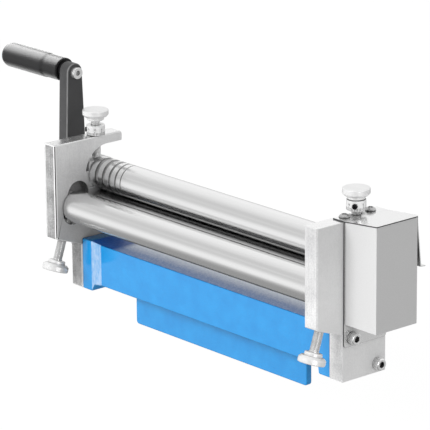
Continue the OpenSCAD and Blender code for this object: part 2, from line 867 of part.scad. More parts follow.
// Lid screwed to the end plate's top, with a sprung flap and finger lip behind
module gear_cover_lid() {
    t = sheet_t;
    front_y = -cover_front - lid_overhang;
    down = [sin(flap_lean), -cos(flap_lean)];
    out = [cos(flap_lean), sin(flap_lean)];
    along_lip = [cos(flap_lean), -sin(flap_lean)];
    under_lip = [-sin(flap_lean), -cos(flap_lean)];
    fold = [lid_back_y, plate_top_z + t];
    above = (lid_under_z(lid_end_x) + t + 2 * overrun - fold[1]) / cos(flap_lean);
    heel = fold + flap_length * down - t * out;
    lip_joint = flap_length - t * (cos(flap_lean) - sin(flap_lean)) / (cos(flap_lean) + sin(flap_lean));
    lip_end = heel + (flap_lip + t) * along_lip;
    high_z = fold[1] + above * cos(flap_lean);
    low_z = lip_end[1] - 2 * t;
    color("lightgray")
        difference() {
            intersection() {
                slab_x(outer_x - lid_lap, lid_end_x - outer_x + lid_lap)
                    polygon([
                        [front_y, high_z], fold - above * down, fold + lip_joint * down,
                        lip_end - t * under_lip, lip_end, heel, [front_y, heel[1]]
                    ]);
                cover_slab(front_y - overrun, lip_end[0] + t) under_lid(t, low_z);
            }
            // Room in front of the flap and under the lid
            intersection() {
                slab_x(outer_x - lid_lap - overrun, lid_end_x - outer_x + lid_lap + 2 * overrun)
                    polygon([
                        [front_y - overrun, high_z], heel - (flap_length + above) * down,
                        heel + 2 * t * down, [front_y - overrun, heel[1] - 2 * t]
                    ]);
                cover_slab(front_y - 2 * overrun, lip_end[0] + 2 * t) under_lid(0, low_z - t);
            }
            translate([0, 0, low_z])
                linear_extrude(high_z - low_z + overrun)
                    polygon([
                        [lid_end_x - lid_corner, lid_back_y], [lid_end_x, lid_back_y - lid_corner],
                        [lid_end_x + overrun, lid_back_y - lid_corner],
                        [lid_end_x + overrun, lip_end[0] + t],
                        [lid_end_x - lid_corner, lip_end[0] + t]
                    ]);
            translate([adjust_x, 0, plate_top_z - overrun])
                cylinder(d = adjust_d + 4 * hole_gap, h = sheet_t + 2 * overrun);
            for (side = [-1, 1])
                translate([plate_mid_x, side * lid_screw_pitch, plate_top_z - overrun])
                    cylinder(d = lid_screw_d + 2 * hole_gap, h = sheet_t + 2 * overrun);
        }
}

module lid_screws() {
    h = lid_screw_head_h;
    r = lid_screw_head_d / 2;
    shank_r = lid_screw_d / 2;
    rim_share = 0.45;
    crown_share = 0.55;
    slot_w_share = 0.14;
    color("gainsboro")
        for (side = [-1, 1])
            translate([plate_mid_x, side * lid_screw_pitch, plate_top_z + sheet_t])
                difference() {
                    rotate_extrude()
                        polygon([
                            [0, -lid_screw_length - sheet_t + key_gap],
                            [shank_r, -lid_screw_length - sheet_t + key_gap], [shank_r, 0],
                            [r, 0], [r, rim_share * h], [crown_share * r, h], [0, h]
                        ]);
                    for (turn = [0, 90])
                        rotate([0, 0, turn])
                            translate([-crown_share * r, -slot_w_share * r, h / 2])
                                cube([2 * crown_share * r, 2 * slot_w_share * r, h]);
                }
}

module lower_gear() {
    color("slategray") roll_gear(lower_z);
}

module upper_gear() {
    color("slategray") roll_gear(upper_z);
}

module lower_gear_key() {
    color("dimgray") gear_key(lower_z);
}

module upper_gear_key() {
    color("dimgray") gear_key(upper_z);
}

module lower_gear_circlip() {
    color("black") circlip(lower_z);
}

module upper_gear_circlip() {
    color("black") circlip(upper_z);
}

// Side outline of the crank arm: two round ends joined by tangent lines
module crank_outline() {
    r1 = arm_root_w / 2;
    r2 = arm_end_w / 2;
    slope = asin((r1 - r2) / crank_throw);
    translate([0, lower_z]) circle(r = r1);
    translate([0, grip_z]) circle(r = r2);
    polygon([
        [-r1 * cos(slope), lower_z + r1 * sin(slope)], [r1 * cos(slope), lower_z + r1 * sin(slope)],
        [r2 * cos(slope), grip_z + r2 * sin(slope)], [-r2 * cos(slope), grip_z + r2 * sin(slope)]
    ]);
}

module crank_arm() {
    color("dimgray")
        difference() {
            union() {
                slab_x(crank_x - crank_t, crank_t) crank_outline();
                rod_x(crank_boss_d, crank_x - overrun, -outer_x - crank_gap, 0, lower_z);
            }
            rod_x(stub_d + 2 * key_gap, crank_x - crank_t - overrun, -outer_x, 0, lower_z);
            key_slot(crank_x - crank_t - overrun, crank_key_end + key_gap, lower_z);
            rod_x(spindle_d + 2 * key_gap, crank_x - crank_t - overrun, crank_x + overrun, 0, grip_z);
        }
}

module crank_key() {
    color("dimgray") key(crank_x - crank_t + key_gap, crank_key_end, lower_z);
}

module crank_washer() {
    x1 = crank_x - crank_t;
    color("gainsboro")
        difference() {
            rod_x(washer_d, x1 - washer_t, x1, 0, lower_z);
            rod_x(thread_d + 2 * hole_gap, x1 - washer_t - overrun, x1 + overrun, 0, lower_z);
        }
}

module crank_end_screw() {
    x1 = crank_x - crank_t - washer_t;
    color("gainsboro") {
        translate([x1, 0, lower_z])
            rotate([0, -90, 0])
                cylinder(d = end_screw_head_d, h = end_screw_head_h, $fn = socket_sides);
        rod_x(thread_d, x1 - overrun, x1 + end_screw_length, 0, lower_z);
    }
}

module grip_spindle() {
    socket = spindle_head_d / 2;
    sink = spindle_head_t / 2;
    color("gainsboro")
        difference() {
            union() {
                rod_x(spindle_d, grip_x - spindle_reach, crank_x + overrun, 0, grip_z);
                rod_x(spindle_head_d, crank_x, crank_x + spindle_head_t, 0, grip_z);
            }
            difference() {
                rod_x(spindle_d + overrun, grip_clip_x, grip_clip_x + clip_t, 0, grip_z);
                rod_x(spindle_d - 2 * clip_sink, grip_clip_x - overrun, grip_x, 0, grip_z);
            }
            translate([crank_x + spindle_head_t - sink, 0, grip_z])
                rotate([0, 90, 0]) cylinder(d = socket, h = 2 * sink, $fn = socket_sides);
        }
}

// Snap ring that keeps the grip on its spindle
module grip_clip() {
    color("dimgray")
        translate([grip_clip_x + key_gap, 0, grip_z])
            rotate([0, 90, 0])
                rotate_extrude(angle = 360 - clip_mouth)
                    translate([spindle_d / 2 - clip_sink + key_gap, 0])
                        square([clip_wall, clip_t - 2 * key_gap]);
}

module grip_washer() {
    color("dimgray")
        difference() {
            rod_x(washer_d, grip_x + key_gap, crank_x - crank_t, 0, grip_z);
            rod_x(spindle_d + 2 * key_gap, grip_x, crank_x, 0, grip_z);
        }
}

// Hollow grip that turns on its spindle, with a waist near the arm and a domed outer end
module crank_grip() {
    neck_r = grip_neck_d / 2;
    body_r = grip_d / 2;
    rise_start_share = 0.3;
    rise_end_share = 0.37;
    rise_steps = 6;
    dome_steps = 12;
    dome_share = 0.7;
    flat_share = 0.3;
    dome_start = grip_length - dome_share * body_r;
    flat_r = flat_share * body_r;
    bore_r = spindle_d / 2 + running_gap;
    bore_length = spindle_reach + washer_t;
    face_x = grip_x - seat_gap;
    ring_r = spindle_d / 2 + clip_wall;
    ring_end = face_x - grip_clip_x + seat_gap;
    ring_start = ring_end - clip_t - 2 * seat_gap;
    start = rise_start_share * grip_length;
    end = rise_end_share * grip_length;
    rise = [
        for (i = [0:rise_steps])
            let (s = i / rise_steps)
            [neck_r + (body_r - neck_r) * (1 - cos(180 * s)) / 2, start + s * (end - start)]
    ];
    dome = [
        for (i = [0:dome_steps])
            let (a = 90 * i / dome_steps)
            [flat_r + (body_r - flat_r) * cos(a), dome_start + (grip_length - dome_start) * sin(a)]
    ];
    color("black")
        translate([face_x, 0, grip_z])
            rotate([0, -90, 0])
                rotate_extrude()
                    polygon(concat(
                        [[bore_r, 0], [neck_r - grip_edge, 0], [neck_r, grip_edge]],
                        rise, dome,
                        [
                            [0, grip_length], [0, bore_length], [bore_r, bore_length],
                            [bore_r, ring_end], [ring_r, ring_end], [ring_r, ring_start],
                            [bore_r, ring_start]
                        ]
                    ));
}

base_casting();
left_end_plate();
right_end_plate();
left_plate_screws();
right_plate_screws();
left_lower_bush();
right_lower_bush();
gear_back_sheet();
gear_cover_box();
gear_cover_lid();
lid_screws();
lower_roll();
lower_gear();
lower_gear_key();
lower_gear_circlip();
crank_arm();
crank_key();
crank_washer();
crank_end_screw();
grip_spindle();
grip_washer();
grip_clip();
crank_grip();
left_bearing_block();
right_bearing_block();
upper_roll();
upper_gear();
upper_gear_key();
upper_gear_circlip();
left_nip_screw();
left_dial();
left_set_screw();
right_nip_screw();
right_dial();
right_set_screw();
left_bend_bush();
right_bend_bush();
bending_roll();
left_bend_screw();
right_bend_screw();
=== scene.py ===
# %% [markdown]
# A slip roll in Blender: steel, enamel and sheet metal round a finished mechanism.
# The shapes and joints of this machine are already worked out as solids. This lesson puts a camera and
# a plain studio round them, then dresses each piece: some keep their solid and get a better material,
# and others are rebuilt with knurling, threads, engraved marks or softened edges. Lengths are metres.

# %% Load the finished mechanism
import json
import math

import bmesh
import bpy
import numpy as np
from mathutils import Matrix, Vector

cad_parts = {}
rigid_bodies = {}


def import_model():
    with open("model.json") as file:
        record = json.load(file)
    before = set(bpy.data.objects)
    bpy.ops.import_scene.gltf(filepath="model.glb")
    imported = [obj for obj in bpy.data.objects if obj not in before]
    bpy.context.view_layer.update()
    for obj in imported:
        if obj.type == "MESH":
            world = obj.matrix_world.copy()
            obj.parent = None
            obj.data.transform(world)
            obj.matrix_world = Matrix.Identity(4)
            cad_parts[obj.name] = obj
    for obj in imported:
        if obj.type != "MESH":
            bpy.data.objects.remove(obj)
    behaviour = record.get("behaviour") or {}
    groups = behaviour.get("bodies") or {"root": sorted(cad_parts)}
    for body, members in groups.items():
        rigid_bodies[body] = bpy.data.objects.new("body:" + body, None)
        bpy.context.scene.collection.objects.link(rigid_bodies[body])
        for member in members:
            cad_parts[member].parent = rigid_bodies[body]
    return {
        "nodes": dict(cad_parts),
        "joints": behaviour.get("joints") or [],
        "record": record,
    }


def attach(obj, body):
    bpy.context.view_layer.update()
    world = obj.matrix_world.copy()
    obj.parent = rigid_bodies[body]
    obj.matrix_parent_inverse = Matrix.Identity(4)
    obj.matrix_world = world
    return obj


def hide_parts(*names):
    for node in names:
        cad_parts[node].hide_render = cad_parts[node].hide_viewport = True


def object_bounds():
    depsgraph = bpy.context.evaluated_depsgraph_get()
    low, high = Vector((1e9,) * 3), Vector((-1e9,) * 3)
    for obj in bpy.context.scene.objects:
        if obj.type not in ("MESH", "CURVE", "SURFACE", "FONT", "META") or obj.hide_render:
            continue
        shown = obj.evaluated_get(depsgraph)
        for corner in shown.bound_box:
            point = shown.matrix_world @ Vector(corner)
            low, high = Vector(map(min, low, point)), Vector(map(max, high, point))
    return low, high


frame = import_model()
cad_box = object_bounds()
MM = 0.001
record_joints = {joint["name"]: joint for joint in frame["joints"]}


def in_scene(name, data):
    """A new object that holds this data, linked to the scene."""
    made = bpy.data.objects.new(name, data)
    bpy.context.scene.collection.objects.link(made)
    return made


# %% [markdown]
# The camera. A long lens far away keeps the rolls nearly parallel, as a catalogue photograph does.
# Its back vector points from the target to the lens. The matrix holds the camera's right, up and back
# vectors as columns, so the half degree of roll that the photograph has needs no extra rotation.

# %% Camera
PHOTO_SIDE = 430
FOCAL_PIXELS = 3144.8
SHIFT_PIXELS = -2.72
azimuth, elevation, roll = (math.radians(a) for a in (49.17, 16.70, -0.5))
back = np.array([
    math.sin(azimuth) * math.cos(elevation),
    -math.cos(azimuth) * math.cos(elevation),
    math.sin(elevation),
])
level_right = np.array([math.cos(azimuth), math.sin(azimuth), 0.0])
level_up = np.cross(back, level_right)
right = level_right * math.cos(roll) + level_up * math.sin(roll)
up = -level_right * math.sin(roll) + level_up * math.cos(roll)
target = np.array([10.88, -15.3, 127.62]) * MM
distance = 2558.63 * MM

camera_data = bpy.data.cameras.new("camera")
camera_data.sensor_width = 36
camera_data.lens = FOCAL_PIXELS / PHOTO_SIDE * camera_data.sensor_width
camera_data.shift_y = SHIFT_PIXELS / PHOTO_SIDE
camera_data.clip_start, camera_data.clip_end = 0.1, 50
camera = in_scene("camera", camera_data)
pose = np.identity(4)
pose[:3, :3] = np.column_stack([right, up, back])
pose[:3, 3] = target + distance * back
camera.matrix_world = Matrix(pose.tolist())
bpy.context.scene.camera = camera
print("lens", round(camera_data.lens, 1), "mm at", round(distance, 3), "m")

# %% [markdown]
# A surface of revolution carries most of this machine: rolls, knobs, collars, screws and the grip.
# The profile is a list of places along the axis with a radius at each, and a grid of angles turns it.
# Where knurling or a thread is wanted, the radius becomes a function of both parameters, place and
# angle. Whole arrays are worked out at once, so a fine knurl costs no Python loop over its vertices.

# %% Surfaces of revolution
def straight_runs(points, step):
    """Fills each straight run of a profile [(place, radius), ...] with even steps no longer than step,
    and keeps its corners."""
    points = np.asarray(points, float)
    runs = [points[:1]]
    for start, end in zip(points[:-1], points[1:]):
        count = max(1, int(np.ceil(np.hypot(*(end - start)) / step)))
        share = np.arange(1, count + 1)[:, None] / count
        runs.append(start + share * (end - start))
    return np.vstack(runs)


def ring_quads(rings, columns):
    """Four-sided faces between each ring of a stack and the next."""
    step = np.arange(rings - 1)[:, None] * columns
    j = np.arange(columns)[None, :]
    k = (j + 1) % columns
    corners = [step + j, step + k, step + columns + k, step + columns + j]
    return np.stack(corners, axis=-1).reshape(-1, 4).tolist()


def turned(profile, columns, relief=None):
    """Rings of a turned shape: at each place s and angle a the radius is r(s) + relief(s, a, r). The
    profile runs from pole to pole with the metal on the axis side while s rises. Returns the vertices
    along Z and the faces."""
    s, r = profile[1:-1, 0], profile[1:-1, 1]
    angle = np.arange(columns) * 2 * np.pi / columns
    radius = np.repeat(r[:, None], columns, axis=1)
    if relief is not None:
        radius = radius + relief(s[:, None], angle[None, :], radius)
    rings = np.stack([
        radius * np.cos(angle), radius * np.sin(angle), np.repeat(s[:, None], columns, axis=1)
    ], axis=-1).reshape(-1, 3)
    j = np.arange(columns)
    k = (j + 1) % columns
    first, last, top = len(rings), len(rings) + 1, (len(s) - 1) * columns
    fans = np.vstack([
        np.stack([np.full(columns, first), k, j], axis=-1),
        np.stack([np.full(columns, last), top + j, top + k], axis=-1),
    ]).tolist()
    ends = np.array([[0, 0, profile[0, 0]], [0, 0, profile[-1, 0]]])
    return np.vstack([rings, ends]), ring_quads(len(s), columns) + fans


def axis_frame(axis):
    """Columns of a right-handed frame whose third vector is the axis."""
    axis = np.asarray(axis, float) / np.linalg.norm(axis)
    helper = np.array([0.0, 0.0, 1.0]) if abs(axis[2]) < 0.9 else np.array([0.0, 1.0, 0.0])
    first = np.cross(helper, axis)
    first /= np.linalg.norm(first)
    return np.column_stack([first, np.cross(axis, first), axis])


def make_piece(name, shells, sharp=35):
    """One object from shells of (vertices, faces), smooth except where faces meet at over sharp degrees."""
    vertices, faces, start = [], [], 0
    for points, polygons in shells:
        vertices.append(points)
        faces += [[start + v for v in polygon] for polygon in polygons]
        start += len(points)
    mesh = bpy.data.meshes.new(name)
    mesh.from_pydata(np.vstack(vertices).tolist(), [], faces)
    mesh.shade_smooth()
    mesh.set_sharp_from_angle(angle=math.radians(sharp))
    return in_scene(name, mesh)


def place(shell, origin, axis):
    """Turns a shell made along Z onto an axis and moves its zero to origin."""
    return shell[0] @ axis_frame(axis).T + np.asarray(origin, float), shell[1]


print("straight run sample", straight_runs([(0, 0), (0, 1), (1, 1)], 0.5).tolist())

# %% [markdown]
# The studio. The floor and the world look white to the camera, which is how a cut-out catalogue
# picture reads, and the light on the object stays at a plain level. Metal shows what surrounds it, so
# for its reflections the world is a tent of white paper with grey gaps: one row of bands stands in
# front of the machine and another behind it, and the floor lets mirrored rays through to the lower ones.

# %% Floor
FLOOR_DROP = 60 * MM
floor_z = cad_box[0][2] - FLOOR_DROP
FLOOR_HALF = 6.0
floor_corners = [(x * FLOOR_HALF, y * FLOOR_HALF, floor_z) for x, y in ((-1, -1), (1, -1), (1, 1), (-1, 1))]
floor = make_piece("studio_floor", [(floor_corners, [(0, 1, 2, 3)])])
print("floor at", round(floor_z, 4))

# %% [markdown]
# Helpers for materials. A shader reckons in light, so each byte of a colour is turned into linear
# light first. Nodes are made by one short function that sets inputs by name or links a socket to them,
# and the few kinds of node that come up again and again have a function each.

# %% Material helpers
WHITE = (1, 1, 1, 1)


def light(colour):
    """Linear light of an sRGB colour in bytes, or of an even grey where it is one number: c/12.92 near
    black, ((c+0.055)/1.055)^2.4 above."""
    c = np.broadcast_to(colour, 3) / 255
    linear = np.where(c <= 0.04045, c / 12.92, ((c + 0.055) / 1.055) ** 2.4)
    return (*linear.tolist(), 1.0)


def node(tree, kind, inputs=None, **settings):
    """Adds a node, sets its settings, and fills or links its inputs."""
    made = tree.nodes.new(kind)
    for key, value in settings.items():
        setattr(made, key, value)
    for key, value in (inputs or {}).items():
        if isinstance(value, bpy.types.NodeSocket):
            tree.links.new(value, made.inputs[key])
        else:
            made.inputs[key].default_value = value
    return made


def between(tree, factor, low, high):
    """A colour between two, by a factor."""
    return node(tree, "ShaderNodeMix", {0: factor, 6: low, 7: high}, data_type="RGBA").outputs[2]


def times(tree, first, second):
    """One colour times another, or times a grey."""
    return node(tree, "ShaderNodeMix", {0: 1.0, 6: first, 7: second},
                data_type="RGBA", blend_type="MULTIPLY").outputs[2]


def spread(tree, value, low, high, to_low=0.0, to_high=1.0, **settings):
    """Maps a value from one range to another, clamped."""
    return node(tree, "ShaderNodeMapRange", {
        "Value": value, "From Min": low, "From Max": high, "To Min": to_low, "To Max": to_high},
        **settings).outputs[0]


def calc(tree, operation, first, second, **settings):
    """One step of arithmetic with two values."""
    return node(tree, "ShaderNodeMath", {0: first, 1: second}, operation=operation, **settings).outputs[0]


def either(tree, factor, first, second):
    """The first shader where the factor is 0 and the second where it is 1."""
    return node(tree, "ShaderNodeMixShader", {0: factor, 1: first, 2: second}).outputs[0]


print("mid grey as light", round(light(128)[0], 3))

# %% [markdown]
# The world answers each kind of ray in its own way. The camera sees plain white paper, a mirrored ray
# sees the tent, and all other light is an even glow. Nearly all that the camera sees of the floor is the
# floor's own white. A tenth is the light that falls on it, so a shadow still shows faintly, and the own
# white is a little over full to make up for that darker tenth.

# %% World and floor materials
world = bpy.data.worlds.new("studio")
bpy.context.scene.world = world
world.use_nodes = True
tree = world.node_tree
tree.nodes.clear()
direction = node(tree, "ShaderNodeTexCoord").outputs["Generated"]
split = node(tree, "ShaderNodeSeparateXYZ", {"Vector": direction}).outputs
height = spread(tree, split["Z"], -1.0, 1.0)


def bands(stops):
    """A colour ramp of greys by the sine of the elevation, from (sine, grey) stops in rising order."""
    made = node(tree, "ShaderNodeValToRGB", {"Fac": height})
    elements = made.color_ramp.elements
    places = [(sine + 1) / 2 for sine, grey in stops]
    elements[0].position, elements[1].position = places[0], places[-1]
    for at in places[1:-1]:
        elements.new(at)
    for element, (sine, grey) in zip(elements, stops):
        element.color = (grey, grey, grey, 1)
    return made.outputs["Color"]


FRONT_BANDS = [
    (-0.70, 0.34), (-0.58, 0.36), (-0.46, 0.52), (-0.38, 0.74), (-0.30, 0.93), (-0.10, 0.97), (0.06, 0.86),
    (0.20, 0.68), (0.33, 0.66), (0.39, 0.80), (0.45, 0.64), (0.60, 0.66), (0.68, 0.85), (1.0, 0.92),
]
REAR_BANDS = [
    (-0.70, 0.34), (-0.58, 0.36), (-0.42, 0.46), (-0.22, 0.52), (0.0, 0.66), (0.12, 0.84), (0.26, 0.97),
    (0.50, 1.0), (0.70, 0.92), (1.0, 0.92),
]
side = spread(tree, split["Y"], -0.12, 0.12, interpolation_type="SMOOTHSTEP")
flank = spread(tree, split["X"], 0.1, 0.6, 1.0, 0.5)
mirrored = between(tree, side, times(tree, bands(FRONT_BANDS), flank), bands(REAR_BANDS))
path = node(tree, "ShaderNodeLightPath").outputs
AMBIENT = 0.57
tent, air, paper = (
    node(tree, "ShaderNodeBackground", {"Color": colour, "Strength": strength}).outputs[0]
    for colour, strength in ((mirrored, 1.0), (WHITE, AMBIENT), (WHITE, 1.0)))
lit = either(tree, path["Is Glossy Ray"], air, tent)
node(tree, "ShaderNodeOutputWorld", {"Surface": either(tree, path["Is Camera Ray"], lit, paper)})

floor_material = bpy.data.materials.new("studio_floor")
floor_material.use_nodes = True
tree = floor_material.node_tree
tree.nodes.clear()
path = node(tree, "ShaderNodeLightPath").outputs
matt = node(tree, "ShaderNodeBsdfDiffuse", {"Color": (0.8, 0.8, 0.8, 1)}).outputs[0]
FLOOR_WHITE = 1.06
SEEN_WHITE = 0.9
glow = node(tree, "ShaderNodeEmission", {"Color": WHITE, "Strength": FLOOR_WHITE}).outputs[0]
clear = node(tree, "ShaderNodeBsdfTransparent").outputs[0]
paper = either(tree, calc(tree, "MULTIPLY", path["Is Camera Ray"], SEEN_WHITE), matt, glow)
node(tree, "ShaderNodeOutputMaterial", {"Surface": either(tree, path["Is Glossy Ray"], paper, clear)})
floor.data.materials.append(floor_material)
print("ambient light", AMBIENT)

# %% [markdown]
# Two soft boxes. A strong one in front gives the pale faces their tone, and a weak one lifts the right
# side. Neither shows as a reflection, because the tent already gives the metal something to mirror.

# %% Studio lamps
def softbox(name, place_at, aim, size, power):
    """A square area lamp that looks at aim."""
    lamp = bpy.data.lights.new(name, "AREA")
    lamp.shape = "SQUARE"
    lamp.size = size
    lamp.energy = power
    made = in_scene(name, lamp)
    made.location = place_at
    made.rotation_mode = "QUATERNION"
    made.rotation_quaternion = (Vector(aim) - Vector(place_at)).to_track_quat("-Z", "Y")
    made.visible_glossy = False
    return made


aim = (0.0, 0.0, 0.1)
softbox("key_light", (-0.3, -2.2, 1.3), aim, 1.2, 38)
softbox("fill_light", (1.9, -0.8, 0.9), aim, 1.2, 0.8)
scene = bpy.context.scene
scene.view_settings.view_transform = "Standard"

# %% [markdown]
# Shared effects are node groups, built once, that give out only masks and heights. `surface_grain` is
# the fine random grain of blasted or milled steel. `turning_lines` are the close rings that a lathe or
# grinder leaves round an X axis. Both read Object coordinates, so the pattern stays on its piece when
# the piece moves. The edge group marks edges, which the plates paint bright as bare worn steel and as a
# painted highlight, and `crevice_shade` marks where other surfaces stand close, for painted shade.

# %% Node groups
def group(name, inputs, outputs):
    """An empty shader node group with float inputs {name: default} and float outputs, with the sockets
    that its own nodes read and fill."""
    made = bpy.data.node_groups.new(name, "ShaderNodeTree")
    for key, default in inputs.items():
        socket = made.interface.new_socket(key, in_out="INPUT", socket_type="NodeSocketFloat")
        socket.default_value = default
    for key in outputs:
        made.interface.new_socket(key, in_out="OUTPUT", socket_type="NodeSocketFloat")
    return made, made.nodes.new("NodeGroupInput").outputs, made.nodes.new("NodeGroupOutput").inputs


def object_place(tree):
    """X, Y and Z of a point in Object coordinates."""
    coords = node(tree, "ShaderNodeTexCoord")
    return node(tree, "ShaderNodeSeparateXYZ", {"Vector": coords.outputs["Object"]}).outputs


grain_group, grain_in, grain_out = group(
    "surface_grain", {"Grains per metre": 1400.0, "Stretch X": 1.0, "Stretch Y": 1.0, "Stretch Z": 1.0,
                      "Blotches per metre": 40.0},
    ["Grain", "Blotch"])
coords = node(grain_group, "ShaderNodeTexCoord").outputs["Object"]
stretch = node(grain_group, "ShaderNodeCombineXYZ", {
    "X": grain_in["Stretch X"], "Y": grain_in["Stretch Y"], "Z": grain_in["Stretch Z"]})
stretched = node(grain_group, "ShaderNodeVectorMath", {0: coords, 1: stretch.outputs[0]},
                 operation="MULTIPLY")
grain = node(grain_group, "ShaderNodeTexNoise", {
    "Vector": stretched.outputs[0], "Scale": grain_in["Grains per metre"], "Detail": 3.0, "Roughness": 0.6})
blotch = node(grain_group, "ShaderNodeTexNoise", {
    "Vector": coords, "Scale": grain_in["Blotches per metre"], "Detail": 4.0, "Roughness": 0.55})
grain_group.links.new(grain.outputs["Fac"], grain_out["Grain"])
grain_group.links.new(blotch.outputs["Fac"], grain_out["Blotch"])

rings_group, rings_in, rings_out = group("turning_lines", {"Lines per metre": 3000.0}, ["Lines"])
fine = node(rings_group, "ShaderNodeTexNoise", {
    "W": object_place(rings_group)["X"], "Scale": rings_in["Lines per metre"], "Detail": 2.0},
    noise_dimensions="1D")
rings_group.links.new(fine.outputs["Fac"], rings_out["Lines"])

edge_group, edge_in, edge_out = group("worn_and_highlit_edges", {"Width": 0.0006}, ["Edge"])
rounded = node(edge_group, "ShaderNodeBevel", {"Radius": edge_in["Width"]}, samples=4)
geometry = node(edge_group, "ShaderNodeNewGeometry")
agree = node(edge_group, "ShaderNodeVectorMath", {0: rounded.outputs[0], 1: geometry.outputs["Normal"]},
             operation="DOT_PRODUCT")
edge_group.links.new(spread(edge_group, agree.outputs["Value"], 0.99, 0.85), edge_out["Edge"])

crevice_group, crevice_in, crevice_out = group(
    "crevice_shade", {"Reach": 0.015, "Closed": 0.3, "Open": 0.8, "Darkest": 0.3}, ["Shade"])
openness = node(crevice_group, "ShaderNodeAmbientOcclusion", {"Distance": crevice_in["Reach"]}, samples=8)
shade = spread(crevice_group, openness.outputs["AO"], crevice_in["Closed"], crevice_in["Open"],
               crevice_in["Darkest"])
crevice_group.links.new(shade, crevice_out["Shade"])
print("groups", [g.name for g in bpy.data.node_groups])

# %% [markdown]
# Short functions put a finish together: a shader, the groups that it uses, shade in crevices, and a
# bump. Most finishes here are alike in build, so one function makes them: its tint follows one noise,
# its roughness another, and both are gentle, because real metal is never quite even.

# %% Finish helpers
def finish_material(name, **constants):
    """A material with one Principled shader whose plain numbers sit on its own sockets."""
    material = bpy.data.materials.new(name)
    material.use_nodes = True
    shader = material.node_tree.nodes["Principled BSDF"]
    for key, value in constants.items():
        shader.inputs[key.replace("_", " ")].default_value = value
    return material, material.node_tree, shader


def use(tree, made_group, **inputs):
    """Places a node group in a material with its own values, and hands over its outputs."""
    placed = tree.nodes.new("ShaderNodeGroup")
    placed.node_tree = made_group
    for key, value in inputs.items():
        placed.inputs[key.replace("_", " ")].default_value = value
    return placed.outputs


def feed(tree, shader, **sockets):
    """Links each socket to the shader's input of that name."""
    for key, socket in sockets.items():
        tree.links.new(socket, shader.inputs[key.replace("_", " ")])


def from_noise(tree, noise, low, high):
    """Spreads a noise, which mostly lies between 0.3 and 0.7, from low to high."""
    return spread(tree, noise, 0.3, 0.7, low, high)


def shaded(tree, colour, reach, closed, open_at, darkest):
    """A colour painted darker where other surfaces stand close: painted shade in crevices."""
    crevice = use(tree, crevice_group, Reach=reach, Closed=closed, Open=open_at, Darkest=darkest)
    return times(tree, colour, crevice["Shade"])


def bump(tree, shader, height, strength, distance):
    """Bends a shader's normal by a height, whose full range is worth distance in metres."""
    made = node(tree, "ShaderNodeBump", {"Height": height, "Strength": strength, "Distance": distance})
    feed(tree, shader, Normal=made.outputs[0])


def grained_finish(name, grains, blotches, tint_by, dark, bright, rough, rough_by=None, stretch_x=1.0,
                   shade=None, relief=None, **constants):
    """A material whose tint runs from dark to bright, in sRGB bytes, by one mask of surface_grain, Grain
    or Blotch, and its roughness through the range rough by the other. Shade, where given, paints the
    colour darker where other surfaces stand close, as painted shade, with the crevice group's values, and
    relief is the (mask, strength, distance) of its bump."""
    material, tree, shader = finish_material(name, **constants)
    grain = use(tree, grain_group, Grains_per_metre=grains, Stretch_X=stretch_x, Blotches_per_metre=blotches)
    tint = between(tree, grain[tint_by], light(dark), light(bright))
    if shade:
        tint = shaded(tree, tint, *shade)
    rough_by = rough_by or {"Grain": "Blotch", "Blotch": "Grain"}[tint_by]
    feed(tree, shader, Base_Color=tint, Roughness=from_noise(tree, grain[rough_by], *rough))
    if relief:
        mask, strength, distance = relief
        bump(tree, shader, grain[mask], strength, distance)
    return material


print("materials so far", len(bpy.data.materials))

# %% [markdown]
# The end plates are blasted on their faces and milled on top. Blasted steel scatters light much as pale
# paint does, so its finish is only slightly metallic: a fully metallic one would mirror the dark gaps of
# the tent. Upright streaks and slow clouds break it up. The colour also holds painted light and shade:
# darker in crevices and towards one end of the height, bright along edges, as bare worn steel and as a
# highlight, and brighter on the right plate than on the left, with both plates' front faces darker.

# %% Plate steels
HEIGHT_SHADE_Z = (95 * MM, 150 * MM)


def plate_finish(name, metallic, dark, bright, low=1.0, high=1.0):
    """Blasted plate: speckle, slow clouds and upright milling streaks mixed, with edges painted bright as
    bare worn steel and as a highlight, and painted shade in crevices. The factors low and high paint the
    lower and upper part darker, as shade, ramping over a range of heights."""
    material, tree, shader = finish_material(name, Metallic=metallic, Specular_IOR_Level=0.3)
    grain = use(tree, grain_group, Grains_per_metre=750.0, Blotches_per_metre=55.0)
    streaks = use(tree, grain_group, Grains_per_metre=60.0, Stretch_X=14.0, Stretch_Y=14.0)
    edge = use(tree, edge_group, Width=1 * MM)
    speck = spread(tree, grain["Grain"], 0.32, 0.68, 0.0, 0.5)
    cloud = spread(tree, grain["Blotch"], 0.35, 0.65, 0.0, 0.4)
    streak = spread(tree, streaks["Grain"], 0.35, 0.65, 0.0, 0.2)
    total = calc(tree, "ADD", calc(tree, "ADD", speck, cloud), streak)
    body = between(tree, total, light(dark), light(bright))
    body = times(tree, body, spread(tree, object_place(tree)["Z"], *HEIGHT_SHADE_Z, low, high))
    body = between(tree, edge["Edge"], body, light(252))
    feed(tree, shader, Base_Color=shaded(tree, body, 12 * MM, 0.2, 0.6, 0.55),
         Roughness=from_noise(tree, grain["Grain"], 0.34, 0.5))
    bump(tree, shader, grain["Grain"], 0.7, 0.3 * MM)
    return material


# Painted light and shade: the left plate darker low down, its front darker still, and the right plate
# brighter, darker high up and on its front.
plate_steel = plate_finish("blasted_plate_steel", 0.1, (232, 232, 233), 255, 0.68)
left_front_shade_steel = plate_finish("left_front_painted_shade_steel", 0.5, (120, 120, 121), 220)
bright_plate_steel = plate_finish("bright_plate_steel", 0.1, 242, 255, 1.0, 0.86)
front_plate_steel = plate_finish("front_plate_steel", 0.15, (206, 206, 207), 252, 1.0, 0.86)
milled_steel = grained_finish(
    "milled_top_steel", 1500, 60, "Grain", 244, 255, (0.2, 0.3),
    stretch_x=0.1, relief=("Grain", 0.3, 0.04 * MM), Metallic=0.9)
# Bare steel for rounded edges, painted bright also as their highlight.
bare_edge_and_highlight = grained_finish(
    "edge_wear_and_highlight_steel", 1200, 100, "Blotch", 246, 255, (0.3, 0.4), Metallic=0.2)
print("materials so far", len(bpy.data.materials))
